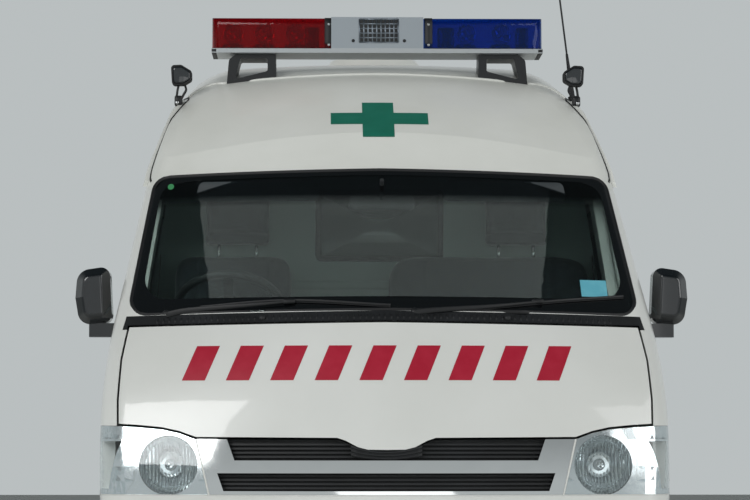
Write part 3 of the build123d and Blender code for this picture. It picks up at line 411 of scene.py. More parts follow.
def rounded(corners, radius, step):
    """Closed line through corners (across, up) in order, each replaced by an arc of its radius, then
    evened out to points about step apart."""
    points = []
    corners = [np.array(c, float) for c in corners]
    for i, corner in enumerate(corners):
        before, after = corners[i - 1] - corner, corners[(i + 1) % len(corners)] - corner
        before, after = before / np.linalg.norm(before), after / np.linalg.norm(after)
        half = np.arccos(np.clip(before @ after, -1, 1)) / 2
        middle = (before + after) / np.linalg.norm(before + after)
        centre = corner + middle * radius / np.sin(half)
        start = corner + before * radius / np.tan(half) - centre
        end = corner + after * radius / np.tan(half) - centre
        swing = np.linspace(0, 1, 13)[:, None]
        blend = start * (1 - swing) + end * swing
        points.append(centre + radius * blend / np.linalg.norm(blend, axis=1)[:, None])
    points = np.vstack(points)
    ring = np.vstack([points, points[:1]])
    length = np.concatenate([[0], np.cumsum(np.linalg.norm(np.diff(ring, axis=0), axis=1))])
    even = np.linspace(0, length[-1], max(int(length[-1] / step), 12), endpoint=False)
    return np.column_stack([np.interp(even, length, ring[:, k]) for k in (0, 1)])


def carried(name, path, across, deep, material, body=None, face=(0, -1, 0), loop=False, sides=12, boxy=2.0):
    """Closed bar or strip: a superellipse section carried along a path. Its half width across and half
    thickness deep may change along the path; deep points along face, and boxy sets the exponent."""
    path = np.asarray(path, float)
    ahead = np.roll(path, -1, 0) - np.roll(path, 1, 0) if loop else np.gradient(path, axis=0)
    ahead /= np.linalg.norm(ahead, axis=1)[:, None]
    wide = np.cross(ahead, np.broadcast_to(np.asarray(face, float), path.shape))
    wide /= np.linalg.norm(wide, axis=1)[:, None]
    front = np.cross(wide, ahead)
    angle = np.linspace(0, 2 * pi, sides, endpoint=False)
    across, deep = (np.broadcast_to(np.asarray(half, float), len(path)) for half in (across, deep))
    rings = path[:, None]
    for half, way, swing in ((across, wide, np.cos(angle)), (deep, front, np.sin(angle))):
        reach = np.sign(swing) * abs(swing) ** (2 / boxy)
        rings = rings + half[:, None, None] * reach[:, None] * way[:, None]
    if not loop:
        ends = [np.repeat(end, sides, 1) for end in (path[:1, None], path[-1:, None])]
        rings = np.concatenate([ends[0], rings, ends[1]])
    return closed(surface(name, rings, material, body, wrap_u=loop, wrap_v=True))


def laid(name, target, line, ray, lift, across, deep, material, body=None, **section):
    """Bar or strip carried along a line that is draped onto a CAD node, its thickness facing back along the
    ray unless a face is given."""
    section.setdefault("face", -np.array(RAYS.get(ray, ray)[1]))
    return carried(name, draped(target, line, ray, lift), across, deep, material, body, **section)


def bowed(corners, radius, count):
    """Screen-shaped ring: the head and foot bow between their corners, and the corners are round. Given
    as count points at even angles about the middle, so that two rings pair up."""
    line = rounded(corners, radius, 0.004)
    angle = np.unwrap(np.arctan2(line[:, 1] - SCREEN_MIDDLE_Z, line[:, 0]))
    if angle[-1] < angle[0]:
        line, angle = line[::-1], angle[::-1]
    even = np.linspace(angle[0], angle[0] + 2 * pi, count, endpoint=False)
    angle = np.append(angle, angle[0] + 2 * pi)
    line = np.vstack([line, line[:1]])
    return np.column_stack([np.interp(even, angle, line[:, k]) for k in (0, 1)])


SCREEN_EDGE = [(-0.843, 1.229), (0, 1.241), (0.843, 1.229), (0.784, 1.731), (0, 1.744), (-0.784, 1.731)]
FRIT_EDGE = [(-0.800, 1.283), (0, 1.287), (0.800, 1.283), (0.757, 1.712), (0, 1.725), (-0.757, 1.712)]
SCREEN_R, FRIT_R, SCREEN_MIDDLE_Z, RING = 0.055, 0.075, 1.48, 420
frit = finish("black_ceramic_frit", "#0B0D0F", Roughness=0.12, Coat_Weight=0.8, Coat_Roughness=0.02)
grained(frit, 2.0, 0.01, kind="TexVoronoi")
outer, inner = bowed(SCREEN_EDGE, SCREEN_R, RING), bowed(FRIT_EDGE, FRIT_R, RING)
share = np.linspace(0, 1, 9)[None, :, None]
band = outer[:, None] * (1 - share) + inner[:, None] * share
points = draped("windscreen", band[:, ::-1].reshape(-1, 2), "front", 0.0009).reshape(RING, 9, 3)
outward(surface("screen_border", points, frit, "body", wrap_u=True))
gasket_rubber = finish("extruded_epdm_rubber", "#17181A", Roughness=0.6)
grained(gasket_rubber, 3, 0.04, rough=(0.5, 0.7))
SEAL = {"loop": True, "boxy": 3.0}
laid("screen_rubber", "windscreen", outer * (0.9975, 1), "front", 0.001, 0.0065, 0.004, gasket_rubber,
     "body", **SEAL)

# Blank sticker and dot: coated paper labels stuck on the screen, light blue and green, without print.
# They lie on its outer face and look dull against the glass.
paper = finish("coated_label_paper", "#63B4C6", Roughness=0.5)
mottled(paper, "#63B4C6", "#74C0D0", 30)
grained(paper, 4, 0.02)
STICKER = ((0.652, 1.292), (0.742, 1.292), (0.741, 1.350), (0.651, 1.350))
DOT_X, DOT_Z, DOT_R = -0.726, 1.694, 0.011
film("blank_sticker", STICKER, (6, 6), paper, "body", "windscreen")
dot_paper = finish("green_label_paper", "#3F8F5A", Roughness=0.5)
grained(dot_paper, 4, 0.02)
dot_r = np.linspace(0.0005, DOT_R, 5)[:, None]
dot_a = np.linspace(0, 2 * pi, 40, endpoint=False)[None, :]
dot = np.stack([DOT_X + dot_r * np.cos(dot_a), DOT_Z + dot_r * np.sin(dot_a)], -1)
pressed("green_dot", dot, dot_paper, "body", "windscreen", 0.0008, wrap_v=True)

# Side and rear panes: tempered glass with a dark privacy tint, bonded in and edged with black rubber.
# The front doors' clear panes run in the same rubber, over a moulding along the door's waist.
privacy = finish("privacy_tinted_glass", "#15191B", Roughness=0.03, Coat_Weight=0.6)
mottled(privacy, "#14181A", "#1D2224", 700, 0.3, 0.8)
grained(privacy, 220, 0.04, Detail=1.0)
dress(privacy, "side_glass_left", "side_glass_right", "sliding_door_glass", "tailgate_glass")
NOSE = -2.690
SIDES = ((1, "left"), (-1, "right"))
SIDE_BACKS = [(1.620, 2.565), (2.720, 3.770), (3.850, 4.900)]
SIDE_LOW, SIDE_HIGH, SEAL_IN, PANE_R = 1.245, 1.700, 0.006, 0.055
DOOR_PANE = [(0.790, 1.248), (1.450, 1.248), (1.450, 1.692), (1.135, 1.688)]
WAIST_Z, WAIST_FROM, WAIST_TO = 1.236, NOSE + 0.775, NOSE + 1.470
TAIL_PANE = [(-0.684, 1.241), (0.684, 1.241), (0.635, 1.736), (-0.635, 1.736)]


def oblong(x0, x1, z0, z1, radius, step):
    """Rounded rectangle between two places across and two heights."""
    return rounded([(x0, z0), (x1, z0), (x1, z1), (x0, z1)], radius, step)


panes = [("side_glass_right", "right", k) for k in (0, 1, 2)]
panes += [("side_glass_left", "left", 1), ("side_glass_left", "left", 2), ("sliding_door_glass", "left", 0)]
for target, name, k in panes:
    y0, y1 = NOSE + SIDE_BACKS[k][0] + SEAL_IN, NOSE + SIDE_BACKS[k][1] - SEAL_IN
    line = oblong(y0, y1, SIDE_LOW + SEAL_IN, SIDE_HIGH - SEAL_IN, PANE_R, 0.02)
    laid(f"pane_seal_{name}_{k}", target, line, name, 0.001, 0.008, 0.0035, gasket_rubber, "body", **SEAL)
for side, name in SIDES:
    door = "door_" + name
    line = rounded([(NOSE + back, z) for back, z in DOOR_PANE], 0.04, 0.02)
    line = line.mean(0) + (line - line.mean(0)) * 0.985
    laid("door_pane_seal_" + name, "door_glass_" + name, line, name, 0.001, 0.008, 0.004, gasket_rubber,
         door, **SEAL)
    waist = np.linspace((WAIST_FROM, WAIST_Z), (WAIST_TO, WAIST_Z), 60)
    laid("belt_moulding_" + name, door, waist, name, 0.002, 0.011, 0.006, gasket_rubber, door, boxy=4.0)
laid("tail_pane_seal", "tailgate_glass", rounded(TAIL_PANE, PANE_R, 0.02), "back", 0.001, 0.009, 0.004,
     gasket_rubber, "tailgate", **SEAL)

# Roof seam and bead: black polyurethane sealant fills the joint between the high roof and the gutters, and
# a moulded bead in the gelcoat runs over the brow to both sides.
sealant = finish("black_polyurethane_sealant", "#101214", Roughness=0.55)
grained(sealant, 6, 0.1, rough=(0.45, 0.65))
SEAM_BACK = (0.985, 1.010, 1.250, 1.480, 1.520, 5.060)
SEAM_Z = (1.7187, 1.7315, 1.9164, 2.0635, 2.0755, 2.061)
BEAD_HALF = [(0.0, 2.168), (0.28, 2.158), (0.552, 2.136), (0.600, 2.134), (0.634, 2.123), (0.668, 2.104),
             (0.694, 2.080)]
backs = np.linspace(SEAM_BACK[0], SEAM_BACK[-1], 320)
seam = np.column_stack([NOSE + backs, np.interp(backs, SEAM_BACK, SEAM_Z)])
for side, name in SIDES:
    laid("roof_seam_" + name, "roof", seam, name, 0.0, 0.0045, 0.0022, sealant, "body", face=(side, 0, 0.3),
         boxy=3.0)
bead = smooth_line([(-x, z) for x, z in BEAD_HALF[:0:-1]] + BEAD_HALF, 160)
laid("roof_bead", "roof", bead, "front", 0.0, 0.006, 0.0035, gelcoat, "body")

# Cowl: grained black polypropylene, clipped under the bonnet's rear edge. It is ribbed for the air intake
# and carries two washer jets.
polypropylene = finish("grained_black_polypropylene", "#17191B", Roughness=0.55)
mottled(polypropylene, "#16181A", "#25272A", 160)
grained(polypropylene, 1.6, 0.09, rough=(0.45, 0.68), kind="TexVoronoi")
dress(polypropylene, "cowl_grille", "grille_panel")
COWL_HALF, COWL_LOW, COWL_RIBS = 0.74, 1.187, 75
JET_X, JET_Z = 0.396, 1.213
JET = [(-0.002, 0.011), (0.004, 0.011), (0.009, 0.008), (0.011, 0.004)]
ribs = []
for x in np.linspace(-COWL_HALF, COWL_HALF, COWL_RIBS):
    low = COWL_LOW + 0.012 * (1 - (x / 0.8) ** 2)
    line = [(x, low + rise) for rise in (0.026, 0.014, 0.003)]
    ribs.append(laid("rib", "cowl_grille", line, "front", 0.0, 0.0035, 0.0024, polypropylene, sides=8))
joined("cowl_ribs", ribs, "body")
seats = draped("cowl_grille", [(-JET_X, JET_Z), (JET_X, JET_Z)], "front")
joined("washer_jets", [turned("jet", JET, seat, (0, -1, 0.6), 24, polypropylene) for seat in seats], "body")

# Grille: injection-moulded frame with bright chromium plate, screwed to the front panel over a grained
# black slat panel. A black ribbed crescent sits under the bonnet's nose.
chromium = finish("chromium_plated_plastic", "#E2E4E4", Metallic=1.0, Roughness=0.05)
grained(chromium, 90, 0.02, rough=(0.03, 0.09))
dress(chromium, "grille_chrome")
CRESCENT_HALF, SKIN_Z = 0.112, 0.737
across, down = np.linspace(-1, 1, 61)[:, None], np.linspace(0, 1, 33)[None, :]
low, high = 0.7585 + 0.010 * across ** 2, 0.786 + 0.020 * across ** 2
z = high * (1 - down) + low * down
skin_y = draped("grille_chrome", [(CRESCENT_HALF * u, SKIN_Z) for u in across[:, 0]], "front")[:, 1:2]
y = skin_y + 0.011 - 0.004 * abs(np.sin(3 * pi * down)) + 0.010 * np.clip(abs(across) * 8 - 7, 0, 1)
points = np.stack([CRESCENT_HALF * across + 0 * z, y, z], -1)
outward(surface("nose_crescent", points, polypropylene, "body"))

# Headlamps: a clear hard-coated polycarbonate lens over a vacuum-aluminised fluted reflector, with a
# capped halogen bulb, and an amber turn lamp behind fine ribs at the outer end.
polycarbonate = finish("hard_coated_polycarbonate", "#EEF3F4", Roughness=0.01, IOR=1.45,
                       Transmission_Weight=1.0)
grained(polycarbonate, 60, 0.01, Detail=1.0)
dress(polycarbonate, "headlamp_lenses")
lets_lamps_through(polycarbonate, "#F4F6F6")
reflector = finish("vacuum_aluminised_reflector", "#E6E9EA", Metallic=1.0, Roughness=0.08)
grained(reflector, 24, 0.05, rough=(0.05, 0.12))
dress(reflector, "headlamp_housings")
bulb_glass = finish("quartz_bulb_glass", "#F2F5F4", Roughness=0.0, Transmission_Weight=1.0)
grained(bulb_glass, 20, 0.01)
amber = finish("amber_lacquered_glass", "#E07A1C", Roughness=0.15, Transmission_Weight=0.5)
mottled(amber, "#E07A1C", "#EE9A3C", 8, 0.3, 0.8)
grained(amber, 9, 0.02)
LAMP_X, LAMP_BACK, LAMP_Z, FLUTE = 0.688, 0.262, 0.742, 0.011
TURN_LAMP_X, RIB_X, RIB_BACKS, RIBS_Z = 0.8125, 0.8135, (0.178, 0.332), (0.676, 0.808)
BOWL_R, BOWL_BACK = (0.014, 0.040, 0.0765, 0.0932), (0.2635, 0.2625, 0.203, 0.146)
BULB_WORKS = [("bulb", [(0, 0.009), (0.028, 0.009), (0.040, 0.008), (0.045, 0.003)], 28, bulb_glass),
              ("cap", [(0.046, 0.012), (0.058, 0.0125), (0.066, 0.009), (0.069, 0)], 28, chromium),
              ("collar", [(-0.001, 0.020), (0.008, 0.019), (0.010, 0.012)], 32, zinc)]
TURN_BULB = [(0, 0.008), (0.010, 0.012), (0.022, 0.012), (0.031, 0.007), (0.033, 0)]


def coaxial(rows, centre, direction):
    """Bodies of revolution about one line, from rows of (name, profile, steps, material)."""
    return [turned(name, profile, centre, direction, *how) for name, profile, *how in rows]


turn = np.linspace(0, 2 * pi, 180, endpoint=False)[:, None]
radius = np.linspace(BOWL_R[0], BOWL_R[-1], 56)[None, :]
back = np.interp(radius, BOWL_R, BOWL_BACK)
x, z = radius * np.cos(turn), radius * np.sin(turn)
flute = 0.0042 * abs(np.sin(pi * x / FLUTE)) * np.clip((radius - 0.03) / 0.015, 0, 1)
for side, name in SIDES:
    points = np.stack([side * LAMP_X + x, NOSE + back - 0.002 - flute, LAMP_Z + z], -1)
    works = [outward(surface("bowl", points, reflector, wrap_u=True))]
    works += coaxial(BULB_WORKS, (side * LAMP_X, NOSE + LAMP_BACK, LAMP_Z), (0, -1, 0))
    works.append(turned("turn_bulb", TURN_BULB, (side * TURN_LAMP_X, NOSE + LAMP_BACK, LAMP_Z),
                        (side, -0.25, 0), 28, amber))
    for z_rib in np.linspace(*RIBS_Z, 17):
        rib = np.linspace(*[(side * RIB_X, NOSE + end, z_rib) for end in RIB_BACKS], 3)
        works.append(carried("rib", rib, 0.0014, 0.0018, reflector, face=(side, 0, 0), sides=8))
    joined("lamp_works_" + name, works, "body")

# Front bumper: its fog lamps have a clear pressed lens in a black bezel over a small
# bright bowl.
FOG_X, FOG_Z = 0.690, 0.420
BEZEL = [(-0.001, 0.044), (-0.001, 0.0605), (0.014, 0.0605), (0.018, 0.056), (0.014, 0.047), (0.006, 0.045)]
FOG_WORKS = [("bezel", BEZEL + BEZEL[:1], 64, polypropylene),
             ("lens", [(0.001, 0.046), (0.009, 0.046), (0.014, 0.036), (0.017, 0.020), (0.018, 0)], 64,
              polycarbonate),
             ("bowl", [(0.0002, 0.045), (0.0009, 0.044), (0.0008, 0.0)], 48, reflector)]
fogs = []
for seat in draped("front_bumper", [(-FOG_X, FOG_Z), (FOG_X, FOG_Z)], "front"):
    fogs += coaxial(FOG_WORKS, seat, (0, -1, 0))
joined("fog_lamps", fogs, "body")

# Tail lamps: one moulded acrylic lens a side in three colours, red over amber over clear over red. The
# lens is glossy outside and ribbed inside, and is screwed to the body.


def banded(material, low, high, bands, socket="Base_Color"):
    """Sharp bands of hex colour or number from one height to another: (share of the height, value)."""
    ramp = add(material, "ValToRGB", {"Fac": share_of_height(material, low, high)}, bands)
    ramp.color_ramp.interpolation = "CONSTANT"
    feed(material, **{socket: ramp.outputs["Color"]})


tail_lens = finish("three_colour_acrylic_lens", "#A30F1C", Roughness=0.08, Coat_Weight=0.6)
banded(tail_lens, 0.83, 1.24, [(0.0, "#A30F1C"), (0.26, "#D9DCDC"), (0.48, "#D9741A"), (0.72, "#A8101D")])
grained(tail_lens, 80, 0.5, rough=(0.06, 0.14), kind="TexWave", bands_direction="Z")
dress(tail_lens, "tail_lamps")

# Door furniture: grained black pull handles over shallow cups, a plated lock in each front door, and a
# bright garnish with the tailgate's handle.
HANDLE_BACK, SLIDING_BACK, HANDLE_Z = 1.415, 1.720, 1.035
LOCK_BACK, LOCK_Z, GARNISH_HALF, GARNISH_Z = 1.455, 0.985, 0.268, 1.115
LOCK = [(-0.002, 0.0125), (0.0022, 0.0125), (0.003, 0.011), (0.0026, 0.009)]
CUP_ROWS = ((-0.004, 0.0), (0.0015, 0.0), (0.003, 0.003), (0.0012, 0.006))


def slab(name, line, rows, axis, material, body=None):
    """Closed plate: an outline set at several places along an axis and drawn in at each, from rows of
    (place, inset), its two ends filled to their middles."""
    line = np.asarray(line, float)
    middle, half = (line.max(0) + line.min(0)) / 2, (line.max(0) - line.min(0)) / 2
    drawn_in = [(at, middle + (line - middle) * (1 - inset / half)) for at, inset in rows]
    rings = [np.insert(ring, axis, at, axis=1) for at, ring in drawn_in]
    ends = [np.repeat(ring.mean(0)[None], len(line), 0) for ring in (rings[0], rings[-1])]
    return closed(surface(name, np.stack([ends[0]] + rings + [ends[1]]), material, body, wrap_v=True))


def pull_handle(name, target, body, side, back, length, z=HANDLE_Z):
    """Bar handle with a cup behind it on a side panel; its ends bend into the panel."""
    y0, y, y1 = NOSE + back - length / 2, NOSE + back, NOSE + back + length / 2
    out = draped(target, [(y, z)], "left" if side > 0 else "right")[0][0]
    cup = slab("cup", oblong(y0 - 0.012, y1 + 0.012, z - 0.020, z + 0.020, 0.015, 0.004),
               [(out + side * rise, inset) for rise, inset in CUP_ROWS], 0, polypropylene)
    knots = ((-0.002, y0), (0.014, y0 + 0.012), (0.019, y), (0.014, y1 - 0.012), (-0.002, y1))
    along = smooth_line([(out + side * rise, place, z) for rise, place in knots], 40)
    bar = carried("bar", along, 0.0125, 0.0055, polypropylene, face=(side, 0, 0), boxy=3.0, sides=20)
    joined(name, [cup, bar], body)


for side, name in SIDES:
    pull_handle("door_handle_" + name, "door_" + name, "door_" + name, side, HANDLE_BACK, 0.150)
pull_handle("sliding_door_handle", "sliding_door", "body", 1, SLIDING_BACK, 0.160)
for side, name in SIDES:
    seat = draped("door_" + name, [(NOSE + LOCK_BACK, LOCK_Z)], name)[0]
    turned("door_lock_" + name, LOCK, seat, (side, 0, 0), 40, zinc, "door_" + name)
line = np.linspace((-GARNISH_HALF, GARNISH_Z), (GARNISH_HALF, GARNISH_Z), 50)
laid("tailgate_garnish", "tailgate", line, "back", 0.004, 0.018, 0.010, chromium, "tailgate", boxy=3.0,
     sides=20)

# Mirrors: black gloss housings on a wedge foot, each with a silvered convex glass let into its rear.
# A thin grained bezel holds the glass's edge.
gloss_black = finish("gloss_black_housing", "#101418", Roughness=0.22, Coat_Weight=0.8, Coat_Roughness=0.04)
mottled(gloss_black, "#0F1317", "#181D21", 120)
grained(gloss_black, 20, 0.03)
dress(gloss_black, "mirror_left", "mirror_right")
silvered = finish("silvered_mirror_glass", "#C9CFCE", Metallic=1.0, Roughness=0.02)
grained(silvered, 150, 0.01)
MIRROR_LINE = [(0.926, 1.236), (1.010, 1.228), (1.023, 1.300), (1.018, 1.378), (0.936, 1.392)]
MIRROR_ROWS = [(NOSE + 0.7945, 0.0), (NOSE + 0.7962, 0.0), (NOSE + 0.7972, 0.012), (NOSE + 0.7978, 0.028)]
for side, name in SIDES:
    line = rounded([(side * x, z) for x, z in MIRROR_LINE], 0.022, 0.006)
    rim = np.insert(line, 1, NOSE + 0.7955, axis=1)
    door = "door_" + name
    carried("mirror_bezel_" + name, rim, 0.004, 0.003, polypropylene, door, face=(0, 1, 0), loop=True)
    slab("mirror_glass_" + name, line, MIRROR_ROWS, 1, silvered, door)

# Wipers: bent steel arms under matt black paint, each from a capped pivot to a sprung blade carrier with a
# rubber lip that lies on the screen.
arm_paint = finish("matt_black_arm_paint", "#141618", Roughness=0.5)
grained(arm_paint, 3, 0.04, rough=(0.42, 0.6))
ARMS = [([(-0.310, 1.268), (-0.450, 1.257), (-0.634, 1.243), (-0.712, 1.228)],
         [(0.018, 1.256), (-0.308, 1.273), (-0.600, 1.254)]),
        ([(0.500, 1.271), (0.354, 1.254), (0.149, 1.238), (0.096, 1.229)],
         [(0.795, 1.296), (0.560, 1.275), (0.300, 1.246)])]
PIVOT_FACE_Z = 1.246
PIVOT_CAP = [(-0.030, 0.010), (-0.006, 0.012), (0.012, 0.014), (0.018, 0.011), (0.021, 0.005)]
CLIP = ((-0.020, -0.008), (0.020, -0.006), (0.020, 0.009), (-0.020, 0.007))
wide = np.interp(np.linspace(0, 1, 60), (0, 0.15, 0.6, 1), (0.0035, 0.005, 0.009, 0.011))
works = []
for arm, blade in ARMS:
    bent, line = smooth_line(arm, 60), smooth_line(blade, 80)
    works += [laid("arm", "windscreen", bent, "front", 0.015, wide, 0.0035, arm_paint, boxy=3.0),
              laid("carrier", "windscreen", line, "front", 0.011, 0.0045, 0.003, arm_paint, boxy=3.0),
              laid("lip", "windscreen", line - (0, 0.006), "front", 0.0035, 0.0022, 0.0034, gasket_rubber)]
    (pivot_x, pivot_z), (clip_x, clip_z) = arm[-1], arm[0]
    pivot_y = draped("windscreen", [(pivot_x, PIVOT_FACE_Z)], "front")[0][1]
    works.append(turned("cap", PIVOT_CAP, (pivot_x, pivot_y, pivot_z), (0, -1, 0.55), 32, arm_paint))
    clip_y = draped("windscreen", [arm[0]], "front", 0.013)[0][1]
    line = rounded([(clip_x + dx, clip_z + dz) for dx, dz in CLIP], 0.004, 0.003)
    rows = [(clip_y + 0.006, 0.001), (clip_y - 0.004, 0.0), (clip_y - 0.007, 0.003)]
    works.append(slab("clip", line, rows, 1, arm_paint))
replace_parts(joined("wiper_arms_and_blades", works, "body"), "wipers")

# Light bar: an extruded aluminium rail on black cranked feet, a red and a blue polycarbonate lens over
# rotating lamps, and between them a satin speaker with a punched grille, held by two black straps.
bar_finish = finish("rail_speaker_and_feet", "#6A727A", Metallic=0.6, Roughness=0.38)
BAR_LOW, BAR_HIGH = 2.20, 2.40
banded(bar_finish, BAR_LOW, BAR_HIGH, [(0.0, "#15171A"), (0.222, "#B9BDBF"), (0.31, "#A4ABB1")])
banded(bar_finish, BAR_LOW, BAR_HIGH, [(0.0, 0.0), (0.222, 0.9), (0.31, 0.65)], socket="Metallic")
grained(bar_finish, 2, 0.02, rough=(0.3, 0.46))
dress(bar_finish, "light_bar_base")
punch = finish("satin_aluminium_sheet", "#7A828A", Metallic=0.9, Roughness=0.36)
grained(punch, 1.5, 0.02, rough=(0.3, 0.45))
BAR_Y, RAIL_TOP, BEACON_Z, DRIVERS_Z = NOSE + 1.610, 2.264, 2.326, (2.266, 2.345)
BEACONS_X = (-0.535, -0.420, -0.305, 0.330, 0.460)
DRIVERS_X = ((-0.268, -0.215), (0.225, 0.285), (0.515, 0.560))
FACE_Y, PUNCH_Y = BAR_Y - 0.095, BAR_Y - 0.0965
HOLES_X, HOLES_Z = (-0.066, 0.005, 0.077), (2.284, 2.327, 2.370)
LAMP_FOOT = [(0, 0.040), (0.018, 0.040), (0.022, 0.036)]
HOOD = [(-0.034, 0.010), (-0.022, 0.026), (-0.002, 0.036), (0.010, 0.040), (0.012, 0.038), (0.0, 0.033),
        (-0.018, 0.024), (-0.028, 0.008)]
BEACON = [("hood", HOOD, 40, reflector),
          ("lamp", [(-0.030, 0.006), (-0.006, 0.008), (0.0, 0.004)], 20, bulb_glass)]
DRIVER_ROWS = [(BAR_Y - 0.060, 0.003), (BAR_Y - 0.056, 0), (BAR_Y + 0.05, 0), (BAR_Y + 0.054, 0.003)]
STRAP = [(BAR_Y - 0.0966, 2.258), (BAR_Y + 0.0966, 2.258), (BAR_Y + 0.086, 2.3795), (BAR_Y - 0.086, 2.3795)]
STRAP_SCREW = [(-0.002, 0.005), (0.002, 0.005), (0.003, 0.003)]
SPEAKER_SCREW = [(-0.002, 0.006), (0.002, 0.006), (0.003, 0.004)]


def shell_of(name, source, material, thickness):
    """Hollow shell with the outer faces of a CAD node: its mesh copied, welded and thickened inwards."""
    mesh = node[source].data.copy()
    mesh.materials.clear()
    mesh.materials.append(material)
    piece = closed(placed(name, mesh, "body"))
    wall = piece.modifiers.new("wall", "SOLIDIFY")
    wall.thickness, wall.offset, wall.use_even_offset = thickness, -1, True
    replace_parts(settled(piece), source)


for colour, tone, passed in (("red", "#B01228", "#D03A4A"), ("blue", "#0B56B0", "#3A78C8")):
    lens = finish(colour + "_polycarbonate_lens", tone, Roughness=0.06, IOR=1.3, Transmission_Weight=0.92)
    grained(lens, 90, 0.25, kind="TexWave", bands_direction="X")
    lets_lamps_through(lens, passed)
    shell_of("lens_shell_" + colour, "light_bar_" + colour, lens, 0.003)
works = []
for x in BEACONS_X:
    works.append(turned("foot", LAMP_FOOT, (x, BAR_Y, RAIL_TOP), (0, 0, 1), 36, gloss_black))
    works += coaxial(BEACON, (x, BAR_Y - 0.004, BEACON_Z), (0.25, -1, 0))
for span in DRIVERS_X:
    works.append(slab("driver", oblong(*span, *DRIVERS_Z, 0.006, 0.004), DRIVER_ROWS, 1, gloss_black))
joined("light_bar_works", works, "body")
straps = []
for x0, x1 in ((-0.195, -0.163), (0.174, 0.204)):
    rows = [(x0, 0.003), (x0 + 0.001, 0), (x1 - 0.001, 0), (x1, 0.003)]
    straps.append(slab("strap", rounded(STRAP, 0.028, 0.004), rows, 0, polypropylene))
    for z in (2.275, 2.352):
        seat = ((x0 + x1) / 2, BAR_Y - 0.0966 + 0.088 * (z - 2.258), z)
        straps.append(turned("screw", STRAP_SCREW, seat, (0, -1, 0), 20, zinc))
joined("lens_straps", straps, "body")
rows = [(FACE_Y + 0.003, 0), (FACE_Y - 0.0008, 0), (FACE_Y - 0.001, 0.001)]
line = oblong(*HOLES_X[::2], *HOLES_Z[::2], 0.005, 0.004)
punched = [slab("sound_holes", line, rows, 1, polypropylene)]
bars = [[(x, PUNCH_Y, z) for z in HOLES_Z] for x in np.linspace(*HOLES_X[::2], 10)]
bars += [[(x, PUNCH_Y, z) for x in HOLES_X] for z in np.linspace(*HOLES_Z[::2], 6)]
punched += [carried("bar", bar, 0.0026, 0.0016, punch, sides=8, boxy=4.0) for bar in bars]
punched += [turned("screw", SPEAKER_SCREW, (x, FACE_Y, 2.290), (0, -1, 0), 20, polypropylene)
            for x in (-0.089, 0.100)]
joined("speaker_grille", punched, "body")
ends = []
for side in (-1, 1):
    line = oblong(BAR_Y - 0.0952, BAR_Y + 0.0952, 2.2446, 2.2622, 0.004, 0.003)
    rows = [(side * 0.593, 0.0008), (side * 0.594, 0), (side * 0.6105, 0), (side * 0.6112, 0.001)]
    ends.append(slab("end_cap", line, rows, 0, polypropylene))
joined("rail_end_caps", ends, "body")

# Search lamps: black moulded hoods with a smoked glass, each on a forked bracket whose plated bolt clamps it
# to the gutter.
smoked = finish("smoked_lamp_glass", "#1A2024", Roughness=0.08, Coat_Weight=0.8)
grained(smoked, 60, 0.3, kind="TexWave", bands_direction="X")
POD_X, POD_Y, POD_Z = 0.7175, NOSE + 1.470, 2.150
POD_LINE = ((0.0385, 0.036), (0.001, 0.038), (-0.038, 0.014), (-0.038, -0.019), (-0.010, -0.036),
            (0.034, -0.037))
POD_ROWS = [(POD_Y - 0.040, 0.006), (POD_Y - 0.045, 0.003), (POD_Y - 0.044, 0.0), (POD_Y + 0.004, 0.0),
            (POD_Y + 0.030, 0.008), (POD_Y + 0.035, 0.016)]
GLASS_ROWS = [(POD_Y - 0.038, 0.007), (POD_Y - 0.0425, 0.007), (POD_Y - 0.0435, 0.012)]
CLAMP_ROWS = [(POD_Y - 0.017, 0.002), (POD_Y - 0.014, 0), (POD_Y + 0.014, 0), (POD_Y + 0.017, 0.002)]
BOLT = [(-0.002, 0.0075), (0.003, 0.0075), (0.006, 0.005), (0.0065, 0)]
pods = []
for side in (-1, 1):
    mid_x, clamp_x = side * POD_X, side * (POD_X + 0.012)
    line = rounded([(mid_x + side * dx, POD_Z + dz) for dx, dz in POD_LINE], 0.012, 0.004)
    pods += [slab("hood", line, POD_ROWS, 1, polypropylene), slab("glass", line, GLASS_ROWS, 1, smoked)]
    for reach in (-0.012, 0.012):
        knots = ((reach, 2.116), (reach * 1.3, 2.100), (side * 0.006 + reach, 2.082),
                 (side * 0.012 + reach * 0.8, 2.066))
        fork = smooth_line([(mid_x + dx, POD_Y, z) for dx, z in knots], 24)
        pods.append(carried("fork", fork, 0.004, 0.012, arm_paint, boxy=4.0))
    clamp = oblong(clamp_x - 0.014, clamp_x + 0.014, 2.040, 2.078, 0.006, 0.004)
    pods.append(slab("clamp", clamp, CLAMP_ROWS, 1, arm_paint))
    pods.append(turned("bolt", BOLT, (mid_x + side * 0.016, POD_Y - 0.017, 2.052), (0, -1, 0), 24, zinc))
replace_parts(joined("search_lamp_hoods", pods, "body"), "search_lamps")

# Aerial: a black lacquered steel whip in a tapered rubber sleeve. It leans inwards from the left edge of
# the roof.
whip = finish("black_lacquered_steel", "#141618", Metallic=0.3, Roughness=0.35)
grained(whip, 8, 0.02)
dress(whip, "aerial")
FOOT, LEAN, SLEEVE = np.array([0.735, NOSE + 1.640, 2.060]), radians(7.0), (0.035, 0.200)
rise = np.linspace(*SLEEVE, 24)
sleeve = FOOT + np.array([-sin(LEAN), 0, cos(LEAN)]) * rise[:, None]
sleeve_r = np.interp(rise, SLEEVE, (0.0105, 0.0048))
carried("aerial_sleeve", sleeve, sleeve_r, sleeve_r, gasket_rubber, "body", sides=16)

